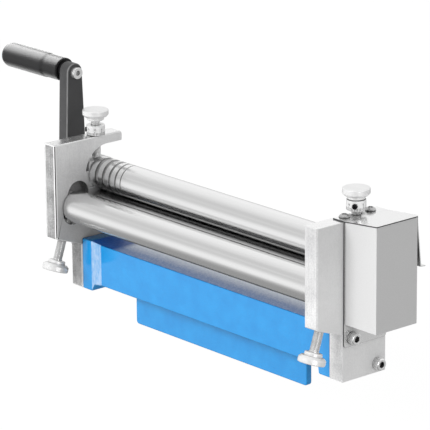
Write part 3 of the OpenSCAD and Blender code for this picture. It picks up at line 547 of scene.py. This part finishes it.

# %% [markdown]
# The rolls are ground, so they are nearly mirrors with faint rings round them, and fully metallic. Their
# colour is painted darker where they stand close to each other, as the shade of the nip. The wire grooves
# in the upper roll are turned, not ground, a little rougher, and painted much darker, as the shade inside
# them. The same dark finish paints the shade on the walls of the screws' sockets.

# %% Roll steels
roll_steel, tree, shader = finish_material("ground_roll_steel", Metallic=1.0)
rings = use(tree, rings_group, Lines_per_metre=2600.0)
grain = use(tree, grain_group, Grains_per_metre=900.0, Stretch_X=0.2, Blotches_per_metre=25.0)
tint = between(tree, rings["Lines"], light(232), light(250))
# Painted shade: the colour darkens where the rolls stand close, most in the nip.
feed(tree, shader, Base_Color=shaded(tree, tint, 14 * MM, 0.3, 0.75, 0.5),
     Roughness=from_noise(tree, grain["Blotch"], 0.16, 0.24))
bump(tree, shader, rings["Lines"], 0.25, 0.03 * MM)

recess_shade_steel, tree, shader = finish_material("painted_recess_shade_steel", Metallic=1.0)
rings = use(tree, rings_group, Lines_per_metre=2600.0)
grain = use(tree, grain_group, Grains_per_metre=900.0, Stretch_X=0.2, Blotches_per_metre=60.0)
feed(tree, shader, Base_Color=between(tree, rings["Lines"], light(128), light(170)),
     Roughness=from_noise(tree, grain["Blotch"], 0.2, 0.3))
print("materials so far", len(bpy.data.materials))

# %% [markdown]
# The gear cover is thin sheet. Its lid and back sheet are polished and mirror their neighbours, and its
# box is satin; the box's side that looks towards +X is painted darker, as shade. The polished sheet is
# painted darker where other surfaces stand close, as shade. The edge of a cut sheet is dark and matt,
# and is painted darker still, as the shadow lines along the lid and the back sheet.

# %% Sheet steels
sheet_steel = grained_finish(
    "polished_sheet_steel", 700, 12, "Grain", 250, 255, (0.12, 0.2), stretch_x=0.05,
    shade=(12 * MM, 0.3, 0.8, 0.2), relief=("Blotch", 0.15, 0.3 * MM), Metallic=0.85)
box_steel = grained_finish(
    "satin_box_steel", 900, 20, "Grain", 232, 244, (0.42, 0.5),
    relief=("Grain", 0.15, 0.03 * MM), Metallic=0.35, Specular_IOR_Level=0.3)
# The box's +X side: a darker copy of the box steel, painted shade.
box_side_shade_steel = grained_finish(
    "satin_box_steel_side_shade", 900, 20, "Grain", 220, 230, (0.42, 0.5),
    Metallic=0.45, Specular_IOR_Level=0.3)
# Dark cut edges, painted darker still as the shadow lines of the gaps.
cut_edge_and_gap_shade = grained_finish(
    "dark_edge_and_gap_shade", 2500, 300, "Blotch", (52, 52, 54), (84, 84, 86), (0.5, 0.7), Metallic=0.6)
print("materials so far", len(bpy.data.materials))

# %% [markdown]
# Small parts. Knobs are bright and slightly satin, screws are plated or oiled, and the parts inside are
# gear steel, iron and sintered bronze. Set screws are black oxide, and the collars' marks are painted.

# %% Steels of the small parts
# Knobs, screws and threads are painted darker where other surfaces stand close, as shade.
knob_steel = grained_finish(
    "bright_knob_steel", 1800, 90, "Blotch", 238, 252, (0.28, 0.42),
    shade=(4 * MM, 0.3, 0.75, 0.3), relief=("Grain", 0.3, 0.04 * MM), Metallic=0.5, Specular_IOR_Level=0.3)
fastener_steel = grained_finish(
    "plated_fastener_steel", 1500, 120, "Blotch", 240, 255, (0.16, 0.28),
    shade=(3 * MM, 0.35, 0.85, 0.2), Metallic=0.85)
# The lid's screws are a darker grey than the other screws.
lid_screw_steel = grained_finish(
    "darker_lid_screw_steel", 1500, 200, "Blotch", 172, 214, (0.2, 0.35),
    shade=(2 * MM, 0.35, 0.9, 0.1), Metallic=0.9)
thread_steel = grained_finish(
    "oiled_thread_steel", 2200, 160, "Blotch", 206, 248, (0.18, 0.34),
    shade=(1.5 * MM, 0.35, 0.85, 0.4), Metallic=0.6)
gear_steel = grained_finish(
    "oiled_gear_steel", 1200, 60, "Blotch", (96, 94, 92), (150, 149, 148), (0.25, 0.4),
    Metallic=1.0)
dark_steel = grained_finish(
    "black_oxide_steel", 1500, 100, "Blotch", (22, 22, 24), (46, 46, 48), (0.3, 0.45),
    Metallic=0.8)
block_iron = grained_finish(
    "oiled_block_iron", 1300, 80, "Grain", (92, 92, 94), (140, 140, 142), (0.35, 0.55),
    relief=("Grain", 0.4, 0.1 * MM), Metallic=1.0)
bronze = grained_finish(
    "sintered_bronze", 2200, 70, "Grain", (150, 112, 62), (206, 166, 104), (0.3, 0.45),
    relief=("Grain", 0.4, 0.08 * MM), Metallic=1.0)
mark_paint = grained_finish(
    "dark_mark_paint", 3000, 400, "Blotch", (36, 36, 38), (66, 66, 68), (0.6, 0.8),
    Metallic=0.0, Specular_IOR_Level=0.2)
print("materials so far", len(bpy.data.materials))

# %% [markdown]
# The base is a sand casting under thick blue enamel. Enamel is a colour with a clear gloss over it, so
# the coat does the shining while a slow noise keeps the surface from being truly flat, and the blue is
# painted darker where other surfaces stand close, as shade. The top of the beam lies under the rolls:
# it is painted pale towards the back, as dust and as the sheen of a grazing reflection, and deep blue
# at its left end, as the shade of the rolls. Chamfers that look front and right are painted pale, as a
# highlight. The crank arm has thin textured paint, with a painted highlight on the rim faces that look
# towards +X, and the grip is moulded.

# %% Paint and plastic materials
def plain_when_bounced(tree, body, plain):
    """A colour that only direct looks see: mirrored and bounced rays get a plain one, so that the enamel
    doesn't tint the steel beside it."""
    path = node(tree, "ShaderNodeLightPath")
    bounced = calc(tree, "MAXIMUM", path.outputs["Is Glossy Ray"], path.outputs["Is Diffuse Ray"])
    return between(tree, bounced, body, light(plain))


casting_enamel, tree, shader = finish_material(
    "blue_casting_enamel", Metallic=0.0, Coat_Weight=1.0, Coat_Roughness=0.1, Coat_IOR=1.6,
    Specular_IOR_Level=0.0)
grain = use(tree, grain_group, Grains_per_metre=420.0, Blotches_per_metre=70.0)
edge = use(tree, edge_group, Width=1.2 * MM)
tone = from_noise(tree, grain["Blotch"], 0.0, 1.0)
body = between(tree, tone, light((26, 150, 226)), light((32, 160, 235)))
body = between(tree, edge["Edge"], body, light((40, 150, 224)))
# Painted shade: the blue darkens where other surfaces stand close.
body = shaded(tree, body, 45 * MM, 0.35, 0.75, 0.35)
feed(tree, shader, Base_Color=plain_when_bounced(tree, body, (60, 68, 76)),
     Roughness=from_noise(tree, grain["Grain"], 0.26, 0.38))
bump(tree, shader, grain["Grain"], 0.5, 0.6 * MM)

DUST_AND_SHEEN_Y = (-10 * MM, 12 * MM)
SHADE_EDGE_X = (-121 * MM, -113 * MM)
dust_and_sheen_enamel, tree, shader = finish_material(
    "dust_and_sheen_top_enamel", Metallic=0.0, Coat_Roughness=0.2, Coat_IOR=1.7, Specular_IOR_Level=0.1)
grain = use(tree, grain_group, Grains_per_metre=620.0, Blotches_per_metre=200.0)
where = object_place(tree)
# Painted pale towards the back, as dust and as the sheen of a grazing reflection.
depth = spread(tree, where["Y"], *DUST_AND_SHEEN_Y)
speck = spread(tree, grain["Grain"], 0.35, 0.65, -0.12, 0.22)
dust_and_sheen = calc(tree, "ADD", depth, speck, use_clamp=True)
body = between(tree, dust_and_sheen, light((104, 134, 186)), light((232, 242, 255)))
# Deep blue at the left end, painted as the shade under the rolls.
shade_blue = between(tree, grain["Blotch"], light((4, 66, 140)), light((16, 90, 176)))
reach = spread(tree, where["X"], *SHADE_EDGE_X)
body = between(tree, reach, shade_blue, body)
feed(tree, shader, Base_Color=plain_when_bounced(tree, body, (70, 74, 80)),
     Coat_Weight=spread(tree, calc(tree, "MULTIPLY", dust_and_sheen, reach), 0.0, 1.0, 0.12, 1.0),
     Roughness=from_noise(tree, grain["Grain"], 0.3, 0.5))
bump(tree, shader, grain["Grain"], 0.4, 0.4 * MM)

chamfer_highlight_enamel, tree, shader = finish_material(
    "chamfer_highlight_enamel", Metallic=0.0, Coat_Weight=0.6, Coat_Roughness=0.2, Specular_IOR_Level=0.3)
grain = use(tree, grain_group, Grains_per_metre=700.0, Stretch_Z=0.25, Blotches_per_metre=110.0)
# Painted highlight on chamfers that face front and right.
highlight_streaks = from_noise(tree, grain["Grain"], 0.0, 1.0)
feed(tree, shader, Base_Color=between(tree, highlight_streaks, light((110, 178, 236)), light((186, 214, 246))),
     Roughness=from_noise(tree, grain["Blotch"], 0.35, 0.5))

arm_paint = grained_finish(
    "black_arm_paint", 1300, 60, "Blotch", (58, 58, 59), (78, 78, 79), (0.4, 0.6),
    relief=("Grain", 0.5, 0.15 * MM), Metallic=0.0, Specular_IOR_Level=0.5)
# Rim faces that look towards +X are painted pale grey: a painted highlight on the rounded edge.
rim_paint = grained_finish(
    "painted_rim_highlight", 900, 90, "Blotch", (96, 96, 97), 150, (0.35, 0.5),
    Metallic=0.0, Specular_IOR_Level=0.5)
grip_plastic = grained_finish(
    "black_grip_plastic", 600, 30, "Blotch", (16, 16, 17), (24, 24, 25), (0.28, 0.34),
    rough_by="Blotch", relief=("Blotch", 0.05, 0.2 * MM), Metallic=0.0, Coat_Weight=1.0,
    Coat_Roughness=0.4, Coat_IOR=1.4, Specular_IOR_Level=0.0)
print("materials", len(bpy.data.materials))

# %% [markdown]
# Each solid names the kind of surface that it has, so most finishes are handed out by that name. A few
# solids look unlike the rest of their kind and have a finish of their own.

# %% Every solid gets its finish
finish_of_slot = {
    "casting_blue": casting_enamel, "plate_steel": plate_steel, "roll_steel": roll_steel,
    "sheet_steel": sheet_steel, "knob_steel": knob_steel, "fastener_steel": fastener_steel,
    "block_iron": block_iron, "gear_steel": gear_steel, "bush_bronze": bronze, "dark_steel": dark_steel,
    "arm_black": arm_paint, "grip_black": grip_plastic,
}
slot_of_node = {part["node"]: part["material_slot"] for part in frame["record"]["subparts"]}
bodies = frame["record"]["behaviour"]["bodies"]
body_of_node = {name: body for body, names in bodies.items() for name in names}
special_finish = {
    "lid_screws": lid_screw_steel, "gear_cover_box": box_steel, "right_end_plate": bright_plate_steel,
    "left_bend_bush": box_steel, "right_bend_bush": box_steel, "left_bearing_block": bright_plate_steel,
}


def finish_of_node(name):
    """A node's own finish where it has one, or else its slot's."""
    return special_finish.get(name, finish_of_slot[slot_of_node[name]])


def dress(piece, node_name):
    """A new piece that stands for a solid: same body, same finish."""
    piece.data.materials.append(finish_of_node(node_name))
    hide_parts(node_name)
    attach(piece, body_of_node[node_name])
    return piece


for name, solid in frame["nodes"].items():
    solid.data.materials.clear()
    solid.data.materials.append(finish_of_node(name))
print("finished", len(frame["nodes"]), "solids")

# %% [markdown]
# Real edges are never knife sharp: a plate is deburred, sheet metal bends round a radius, a casting
# leaves its mould rounded. A copy of the solid is merged into one skin, and a Bevel modifier rounds
# every edge over thirty degrees, so that each edge catches a line of light. Two solids need no
# rounding, only a second finish on some faces, so a plain copy does.

# %% Plain and softened copies
WELD_DISTANCE = 0.01 * MM
FLAT_ANGLE = math.radians(0.5)
SHARP_ANGLE = math.radians(30)


def copied(node_name, ending="_copy"):
    """A copy of a solid that stands for it."""
    mesh = frame["nodes"][node_name].data.copy()
    mesh.name = node_name + ending
    mesh.materials.clear()
    return dress(in_scene(node_name + ending, mesh), node_name)


def softened(node_name, width, segments=3, edge_finish=None):
    """A merged copy of a solid with its edges rounded by width, in their own finish where one is given.
    The rounding needs the flat faces whole, so their inner edges are dissolved first."""
    piece = copied(node_name, "_soft")
    mesh = piece.data
    weld = piece.modifiers.new("weld", "WELD")
    weld.merge_threshold = WELD_DISTANCE
    whole = piece.modifiers.new("whole_flats", "DECIMATE")
    whole.decimate_type = "DISSOLVE"
    whole.angle_limit = FLAT_ANGLE
    whole.delimit = {"MATERIAL"}
    round_edges = piece.modifiers.new("round_edges", "BEVEL")
    round_edges.width = width
    round_edges.segments = segments
    round_edges.limit_method = "ANGLE"
    round_edges.angle_limit = SHARP_ANGLE
    round_edges.use_clamp_overlap = False
    even = piece.modifiers.new("even_flats", "WEIGHTED_NORMAL")
    even.weight = 100
    mesh.shade_smooth()
    if edge_finish:
        round_edges.material = len(mesh.materials)
        mesh.materials.append(edge_finish)
    return piece


soft = {name: softened(name, width) for name, width in {
    "base_casting": 1.2 * MM,
    "gear_cover_box": 0.4 * MM, "gear_cover_lid": 0.2 * MM, "gear_back_sheet": 0.2 * MM,
    "left_bearing_block": 0.4 * MM, "right_bearing_block": 0.4 * MM,
    "left_dial": 0.3 * MM, "right_dial": 0.3 * MM, "left_bend_bush": 0.3 * MM, "right_bend_bush": 0.3 * MM,
    "lid_screws": 0.25 * MM, "grip_spindle": 0.3 * MM, "grip_washer": 0.2 * MM, "crank_washer": 0.3 * MM,
}.items()}
# The left plate's rounded edges are painted bright, as bare worn steel and as a painted highlight.
soft["left_end_plate"] = softened("left_end_plate", 1.1 * MM, 2, bare_edge_and_highlight)
grooved_roll = copied("upper_roll")
right_plate = copied("right_end_plate")
print("softened", len(soft), "copies, plain", grooved_roll.name, right_plate.name)

# %% [markdown]
# The bending roll's bush slides in a slot of the left plate, and the bearing block sits in its opening.
# Rounding there would break into the slides' fit, so the plate's edges are chosen one by one.

# %% Slides keep their fit
BUSH_CLEAR = 12.5 * MM
bend_centre = np.array(record_joints["bend_roll_turn"]["pos_m"], float)
bend_axis = np.array(record_joints["bend_lift"]["axis"], float)
bend_axis /= np.linalg.norm(bend_axis)


def keep_slot_sharp(piece, middle, axis, reach, radius):
    """Weights the edges that are rounded: outer ones sharper than thirty degrees, farther than radius from
    the line that runs from middle along axis, reach[0] to reach[1], seen along X. An inner corner is left
    as it is, because rounding would fill it. The slides then keep their fit."""
    net = bmesh.new()
    net.from_mesh(piece.data)
    bmesh.ops.remove_doubles(net, verts=net.verts, dist=WELD_DISTANCE)
    bmesh.ops.dissolve_limit(net, angle_limit=FLAT_ANGLE, verts=net.verts, edges=net.edges)
    weight = net.edges.layers.float.new("bevel_weight_edge")
    rounded = 0
    for edge in net.edges:
        spot = (np.array(edge.verts[0].co) + np.array(edge.verts[1].co))[1:] / 2 - middle
        along = np.clip(spot @ axis, *reach)
        sharp = edge.is_manifold and edge.is_convex and edge.calc_face_angle() > SHARP_ANGLE
        if sharp and np.hypot(*(spot - along * axis)) > radius:
            edge[weight] = 1.0
            rounded += 1
    net.to_mesh(piece.data)
    net.free()
    piece.modifiers["round_edges"].limit_method = "WEIGHT"
    return rounded


print("plate edges rounded", keep_slot_sharp(
    soft["left_end_plate"], bend_centre[1:], bend_axis[1:], record_joints["bend_lift"]["range_m"],
    BUSH_CLEAR))

# %% [markdown]
# A laser leaves the cut edge of a sheet dark and matt while its faces stay bright, and those edges are
# also painted darker, as the shadow lines of the gaps. Other faces are painted for light and shade:
# the enamel's chamfers that look front and right pale, as a highlight, the plates' fronts and the box's
# +X side darker, as shade, and the upper roll's grooves much darker, as their shade. The beam's top is
# painted pale with dust and sheen, and the plates' tops are milled. Such faces get a second material,
# picked by which way each one looks.

# %% Second finishes
def second_finish(piece, finish, picks):
    """Gives another finish to the faces that picks(normals, centres) marks."""
    mesh = piece.data
    normals, centres = np.empty(len(mesh.polygons) * 3), np.empty(len(mesh.polygons) * 3)
    mesh.polygons.foreach_get("normal", normals)
    mesh.polygons.foreach_get("center", centres)
    marked = picks(normals.reshape(-1, 3), centres.reshape(-1, 3))
    index = np.empty(len(mesh.polygons), np.int32)
    mesh.polygons.foreach_get("material_index", index)
    index[marked] = len(mesh.materials)
    mesh.materials.append(finish)
    mesh.polygons.foreach_set("material_index", index)
    mesh.update()
    return int(marked.sum())


FLAP_START = 20 * MM
BEAM_MIDDLE = 45 * MM
FLANGE_X = 142 * MM
GROOVES_X = (-150 * MM, -80 * MM)
GROOVE_R = 13.85 * MM
UPPER_ROLL_Z = record_joints["upper_turn"]["pos_m"][2]


def in_grooves(n, c):
    """Faces nearer the upper roll's axis than its skin, between the ends of the grooved stretch."""
    deep = np.hypot(c[:, 1], c[:, 2] - UPPER_ROLL_Z) < GROOVE_R
    return deep & (c[:, 0] > GROOVES_X[0]) & (c[:, 0] < GROOVES_X[1])


edge_counts = [
    second_finish(soft["gear_back_sheet"], cut_edge_and_gap_shade, lambda n, c: np.abs(n[:, 0]) < 0.5),
    second_finish(soft["gear_cover_lid"], cut_edge_and_gap_shade, lambda n, c: (
        (np.abs(n[:, 2]) < 0.5) & (c[:, 1] < FLAP_START))),
    second_finish(soft["base_casting"], chamfer_highlight_enamel, lambda n, c: (n[:, 0] > 0.3) & (n[:, 1] < -0.3)),
    second_finish(soft["base_casting"], dust_and_sheen_enamel, lambda n, c: (
        (n[:, 2] > 0.8) & (c[:, 2] > BEAM_MIDDLE) & (np.abs(c[:, 0]) < FLANGE_X))),
    second_finish(soft["left_end_plate"], left_front_shade_steel, lambda n, c: n[:, 1] < -0.7),
    second_finish(soft["left_end_plate"], milled_steel, lambda n, c: n[:, 2] > 0.7),
    second_finish(right_plate, milled_steel, lambda n, c: n[:, 2] > 0.7),
    second_finish(right_plate, front_plate_steel, lambda n, c: n[:, 1] < -0.7),
    second_finish(soft["gear_cover_box"], box_side_shade_steel, lambda n, c: n[:, 0] > 0.7),
    second_finish(grooved_roll, recess_shade_steel, in_grooves),
]
print("faces with a second finish", edge_counts)

# %% [markdown]
# Reliefs are functions of place, angle and radius that a turned shape adds to its radius. Knurling is a
# cosine round the axis. A thread is a triangle wave of place minus angle, so its crest climbs one
# pitch a turn. A hexagonal socket swaps the radius for the distance to the nearest flat.

# %% Reliefs for knurls, threads and sockets
def knurl(teeth, depth, low, high):
    """Sinks the rim by depth (1 - cos(teeth a)) / 2 between two places."""
    def relief(s, a, r):
        return np.where((s > low) & (s < high), -depth * (1 - np.cos(teeth * a)) / 2, 0)
    return relief


def thread(pitch, depth, low, high):
    """Sinks the shaft by a triangle wave of s / pitch - a / turn, fading out over a pitch at each end."""
    def relief(s, a, r):
        wave = np.abs(((s / pitch - a / (2 * np.pi)) % 1) * 2 - 1)
        fade = np.clip(np.minimum(s - low, high - s) / pitch, 0, 1)
        return -depth * wave * fade
    return relief


def hexagon(flats, rim):
    """Turns rings inside the rim radius and above zero into a hexagon with that distance across flats."""
    def relief(s, a, r):
        nearest = (a + np.pi / 6) % (np.pi / 3) - np.pi / 6
        return np.where((r < rim) & (s > 0), flats / 2 / np.cos(nearest) - r, 0)
    return relief


print("thread depth at its root", thread(1.0, 0.5, 0, 10)(5.0, 0.0, 4.0))

# %% [markdown]
# Knobs and adjusting screws. The head is one shell with fine knurling on its rim, and the M8 shaft is
# a second shell with its thread really cut, one millimetre a turn as the joint says. Both are closed,
# and the shaft simply starts inside the head.

# %% Knob screws
KNURL_TEETH = 60
THREAD_PITCH = 1.0 * MM
THREAD_DEPTH = 0.5 * MM
SHAFT_R = 4 * MM
POINT_R = 2.5 * MM
HEAD = np.array([
    (0, 0), (0, 10.3), (0.25, 10.8), (0.7, 11.15), (1.0, 11.2), (4.3, 11.2), (6.1, 9.5), (6.2, 9.2),
    (6.2, 7.3), (6.4, 7.3), (8.5, 7.3), (9.1, 6.9), (9.4, 6.4), (9.4, 4), (9.4, 0)]) * MM
ADJUST_X = record_joints["right_nip_turn"]["pos_m"][0]


def knob_screw(node_name, origin, axis, length):
    """A knurled head and a threaded shaft with a plain point, from the knob's face inward."""
    head = turned(straight_runs(HEAD, 0.35 * MM), 3 * KNURL_TEETH,
                  knurl(KNURL_TEETH, 0.14 * MM, 0.9 * MM, 4.4 * MM))
    start, neck, chamfer = 9 * MM, length - 4 * MM, 0.4 * MM
    shaft = np.vstack([
        straight_runs([(start, 0), (start, SHAFT_R)], 1 * MM),
        straight_runs([(start, SHAFT_R), (neck, SHAFT_R)], THREAD_PITCH / 8)[1:],
        straight_runs([(neck, POINT_R), (length - chamfer, POINT_R),
                       (length, POINT_R - chamfer), (length, 0)], 1 * MM)])
    rod = turned(shaft, 48, thread(THREAD_PITCH, THREAD_DEPTH, 10 * MM, neck - 0.2 * MM))
    piece = dress(make_piece(
        node_name + "_cut", [place(head, origin, axis), place(rod, origin, axis)], sharp=40), node_name)
    piece.data.materials.append(thread_steel)
    finish = np.repeat([0, 1], [len(head[1]), len(rod[1])]).astype(np.int32)
    piece.data.polygons.foreach_set("material_index", finish)
    return piece


KNOB_FACE_Z = 178.2 * MM
BEND_FACE = 58.4 * MM
for side, word in ((-1, "left"), (1, "right")):
    knob_screw(word + "_nip_screw", (side * ADJUST_X, 0, KNOB_FACE_Z), (0, 0, -1), 45.65 * MM)
    foot = bend_centre + np.array([side * ADJUST_X, 0, 0]) - BEND_FACE * bend_axis
    knob_screw(word + "_bend_screw", foot, bend_axis, 49.35 * MM)

# %% [markdown]
# The graduated collars. Forty marks round each make one mark worth a fortieth of a millimetre. The
# marks are thin dark inlays: a row of boxes bent round the collar by numpy, with every fifth one longer
# and numbered. The numbers are text made into a mesh and wrapped the same way.

# %% Collar graduations
DIVISIONS = 40
NUMBERED = 5
DIAL_R = 7.9 * MM
NUMBER_SIZE = 2.4 * MM
NUMBER_THICK = 0.04 * MM


def wrapped(points, radius, centre):
    """Bends flat (across, up, out) points round a vertical cylinder: angle = across / radius."""
    angle = points[:, 0] / radius
    out = radius + points[:, 2]
    return np.stack([out * np.cos(angle), out * np.sin(angle), points[:, 1]], axis=-1) + centre


def mark_box(across, low, high, width, sunk, proud):
    """The eight corners and six outward faces of one upright mark."""
    corners = np.array([
        (across + i * width / 2, z, d) for d in (-sunk, proud) for z in (low, high) for i in (-1, 1)])
    faces = [(4, 5, 7, 6), (0, 2, 3, 1), (0, 1, 5, 4), (2, 6, 7, 3), (0, 4, 6, 2), (1, 3, 7, 5)]
    return corners, faces


def number_mesh(text, size):
    """Text as a thin solid mesh in the across-up plane, read back as arrays."""
    curve = bpy.data.curves.new("number_" + text, "FONT")
    curve.body, curve.size, curve.extrude, curve.resolution_u = text, size, NUMBER_THICK, 3
    curve.align_x = "CENTER"
    holder = in_scene("number_" + text, curve)
    made = holder.evaluated_get(bpy.context.evaluated_depsgraph_get()).to_mesh()
    points = np.empty(len(made.vertices) * 3)
    made.vertices.foreach_get("co", points)
    faces = [tuple(face.vertices) for face in made.polygons]
    holder.to_mesh_clear()
    bpy.data.objects.remove(holder)
    return points.reshape(-1, 3), faces


def graduate(word, side, low_z):
    """All marks and numbers of one collar as a single dark piece."""
    centre = (side * ADJUST_X, 0.0, low_z)
    step = 2 * np.pi * DIAL_R / DIVISIONS
    shells = []
    for i in range(DIVISIONS):
        high = 3.9 * MM if i % NUMBERED == 0 else 2.7 * MM
        corners, faces = mark_box(i * step, 0.35 * MM, high, 0.4 * MM, 0.1 * MM, 0.012 * MM)
        shells.append((wrapped(corners, DIAL_R, centre), faces))
    for i in range(0, DIVISIONS, NUMBERED):
        points, faces = number_mesh(str(i), NUMBER_SIZE)
        points = points + np.array([i * step, 4.5 * MM, -0.02 * MM])
        shells.append((wrapped(points, DIAL_R, centre), faces))
    piece = make_piece(word + "_dial_marks", shells)
    piece.data.materials.append(mark_paint)
    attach(piece, body_of_node[word + "_dial"])


graduate("left", -1, 156.3 * MM)
graduate("right", 1, 160.4 * MM)
print("collars graduated in", DIVISIONS)

# %% [markdown]
# Socket-head screws. Their heads are knurled for the fingers, chamfered on top, and hold a hexagonal
# socket. The same lathe makes them, because the profile runs over the rim and down into the socket.

# %% Socket-head screws
CAP_PLACES = [(-13.3 * MM, 60 * MM), (14.9 * MM, 32 * MM)]
CAP = np.array([
    (-17.6, 0), (-18, 0.1), (-18, 2.7), (-17.7, 3), (0, 3), (0, 4.8), (0.25, 5), (5.1, 5), (5.7, 4.65),
    (6, 4.2), (6, 3.1), (5.9, 2.95), (3, 2.95), (3, 0)]) * MM
SOCKET_R = 2.93 * MM


def cap_screws(node_name, seats):
    """A pair of socket-head screws, each from (x of its seat, y, z), looking along sign of x."""
    shells = []
    for x, y, z in seats:
        rim, socket = knurl(36, 0.35 * MM, 0.9 * MM, 4.9 * MM), hexagon(5 * MM, 3 * MM)
        shell = turned(straight_runs(CAP, 0.4 * MM), 144, lambda s, a, r: rim(s, a, r) + socket(s, a, r))
        shells.append(place(shell, (x, y, z), (math.copysign(1, x), 0, 0)))
    piece = dress(make_piece(node_name + "_cut", shells, sharp=30), node_name)
    off_axis = np.array([[y, z] for x, y, z in seats])
    # The socket walls get the dark recess finish: painted shade inside the socket.
    second_finish(piece, recess_shade_steel, lambda n, c: (
        np.hypot(*(c[:, None, 1:] - off_axis[None]).transpose(2, 0, 1)).min(axis=1) < SOCKET_R)
        & (np.abs(c[:, 0]) > abs(seats[0][0]) + 1 * MM) & (np.abs(n[:, 0]) < 0.7))
    return piece


PLATE_FACE_X = 170.2 * MM
SHEET = 1.0 * MM
cap_screws("left_plate_screws", [(-PLATE_FACE_X, y, z) for y, z in CAP_PLACES])
cap_screws("right_plate_screws", [
    (PLATE_FACE_X + SHEET, *CAP_PLACES[0]), (PLATE_FACE_X, *CAP_PLACES[1])])

# %% [markdown]
# The grip is one turned skin, from the bottom of its bore out over the face, along the slim neck and
# the fuller body, and over the dome. The change of radius is half a cosine, so it has no crease. The
# bore widens near its bottom, where the clip that holds the grip sits on the spindle.

# %% The grip
GRIP_FACE_X = -202.4 * MM
GRIP_Z = record_joints["grip_turn"]["pos_m"][2]


def grip_profile():
    """(place, radius) from the bottom of the bore, out over the face, along the body and over the dome:
    rim and dome are quarter circles, and the rise is half a cosine from neck to body. In millimetres
    until the end."""
    length, neck, body, bore, corner, round_end = 80, 10.2, 10.7, 4.05, 1.2, 7.49
    s = np.linspace(0, 1, 25)
    rise = np.stack([18 + 5.6 * s, neck + (body - neck) * (1 - np.cos(np.pi * s)) / 2], axis=-1)
    a = np.linspace(0, np.pi / 2, 20)
    dome = np.stack([length - round_end + round_end * np.sin(a), body - round_end + round_end * np.cos(a)],
                    axis=-1)
    clip_room = [(60.95, bore), (60.95, 6), (59.45, 6), (59.45, bore)]
    hole = [(66, 0), (66, bore), *clip_room, (0.3, bore), (0, bore + 0.3), (0, 8.9)]
    lip = np.linspace(0.1, np.pi / 2, 6)
    rim = np.stack([corner - corner * np.cos(lip), neck - corner + corner * np.sin(lip)], axis=-1)
    return np.vstack([hole, rim, rise, dome, [(length, 0)]]) * MM


grip = place(turned(straight_runs(grip_profile(), 1.5 * MM), 96), (GRIP_FACE_X, 0, GRIP_Z), (-1, 0, 0))
grip_piece = dress(make_piece("crank_grip_turned", [grip], sharp=50), "crank_grip")
print("grip rings", len(grip_profile()))

# %% [markdown]
# The crank arm. Its outline is the skin of two circles: in each direction the outermost point lies on
# one circle or the other, whichever reaches further. Rings of that outline, drawn in a little near
# both faces, give the rounded rim, and a turned boss stands on the side of the plate.

# %% Crank arm
ROOT_Z, END_Z = record_joints["crank_turn"]["pos_m"][2], GRIP_Z
ROOT_R, END_R = 12.2 * MM, 8.0 * MM
ARM_X = (-200.1 * MM, -188.5 * MM)
ARM_RIM = 1.1 * MM


def arm_shell():
    """Rings of the two-circle skin: centre + (radius - inset) (cos a, sin a), along a rounded rim."""
    a = np.arange(120) * 2 * np.pi / 120
    top = np.sin(a) > (ROOT_R - END_R) / (END_Z - ROOT_Z)
    centre_z, radius = np.where(top, END_Z, ROOT_Z), np.where(top, END_R, ROOT_R)
    q = np.linspace(0, np.pi / 2, 6)
    inset = ARM_RIM * (1 - np.sin(q))
    depth = ARM_RIM * (1 - np.cos(q))
    x = np.concatenate([ARM_X[0] + depth, (ARM_X[1] - depth)[::-1]])
    inset = np.concatenate([inset, inset[::-1]])
    rings = np.stack([
        np.repeat(x[:, None], len(a), axis=1),
        (radius - inset[:, None]) * np.cos(a),
        centre_z + (radius - inset[:, None]) * np.sin(a)], axis=-1).reshape(-1, 3)
    n = len(a)
    ends = [list(range(n))[::-1], list(range((len(x) - 1) * n, len(x) * n))]
    return rings, ring_quads(len(x), n) + ends


BOSS = np.array([(-3, 0), (-3, 11), (16.3, 11), (16.8, 10.5), (16.8, 0)]) * MM
boss = place(turned(straight_runs(BOSS, 2 * MM), 96), (ARM_X[1], 0, ROOT_Z), (1, 0, 0))
arm = dress(make_piece("crank_arm_cast", [arm_shell(), boss], sharp=50), "crank_arm")
# A painted highlight: the rim faces that look towards +X get the pale rim paint.
print("rim faces", second_finish(arm, rim_paint, lambda n, c: (
    (n[:, 0] > 0.15) & (n[:, 0] < 0.97) & (c[:, 0] < ARM_X[1]))))

# %% [markdown]
# Black plastic and small plated screws show little but what they mirror. A photographer gives such
# parts a light of their own, so small lamps stand near them, and light linking lets each lamp reach
# its own pieces only.

# %% Lamps for the grip and the screws
def linked_lamp(name, place_at, aim_at, size, power, pieces):
    """A softbox that lights, and shows in, the given pieces alone."""
    lamp = softbox(name, place_at, aim_at, size, power)
    lamp.visible_glossy = True
    only = bpy.data.collections.new(name + "_pieces")
    for piece in pieces:
        only.objects.link(piece)
    lamp.light_linking.receiver_collection = only
    return len(only.objects)


GRIP_MIDDLE = (-0.242, 0.0, 0.205)
small_parts = [piece for piece in scene.objects if piece.name.endswith(
    ("_screws_cut", "_screw_cut", "_dial_soft", "grip_spindle_soft"))]
lamp_counts = [
    linked_lamp("grip_top_light", (-0.604, 0.01, 0.55), GRIP_MIDDLE, 0.5, 7.0, [grip_piece]),
    linked_lamp("grip_rim_light", (-0.604, 0.345, 0.209), GRIP_MIDDLE, 0.3, 0.9, [grip_piece]),
    linked_lamp("grip_low_light", (-0.46, 0.045, 0.02), GRIP_MIDDLE, 0.16, 0.18, [grip_piece]),
    linked_lamp("screw_light", (1.5, -0.4, 0.3), (0, 0, 0.1), 0.5, 4.5, small_parts),
]
print("pieces under linked lamps", lamp_counts)
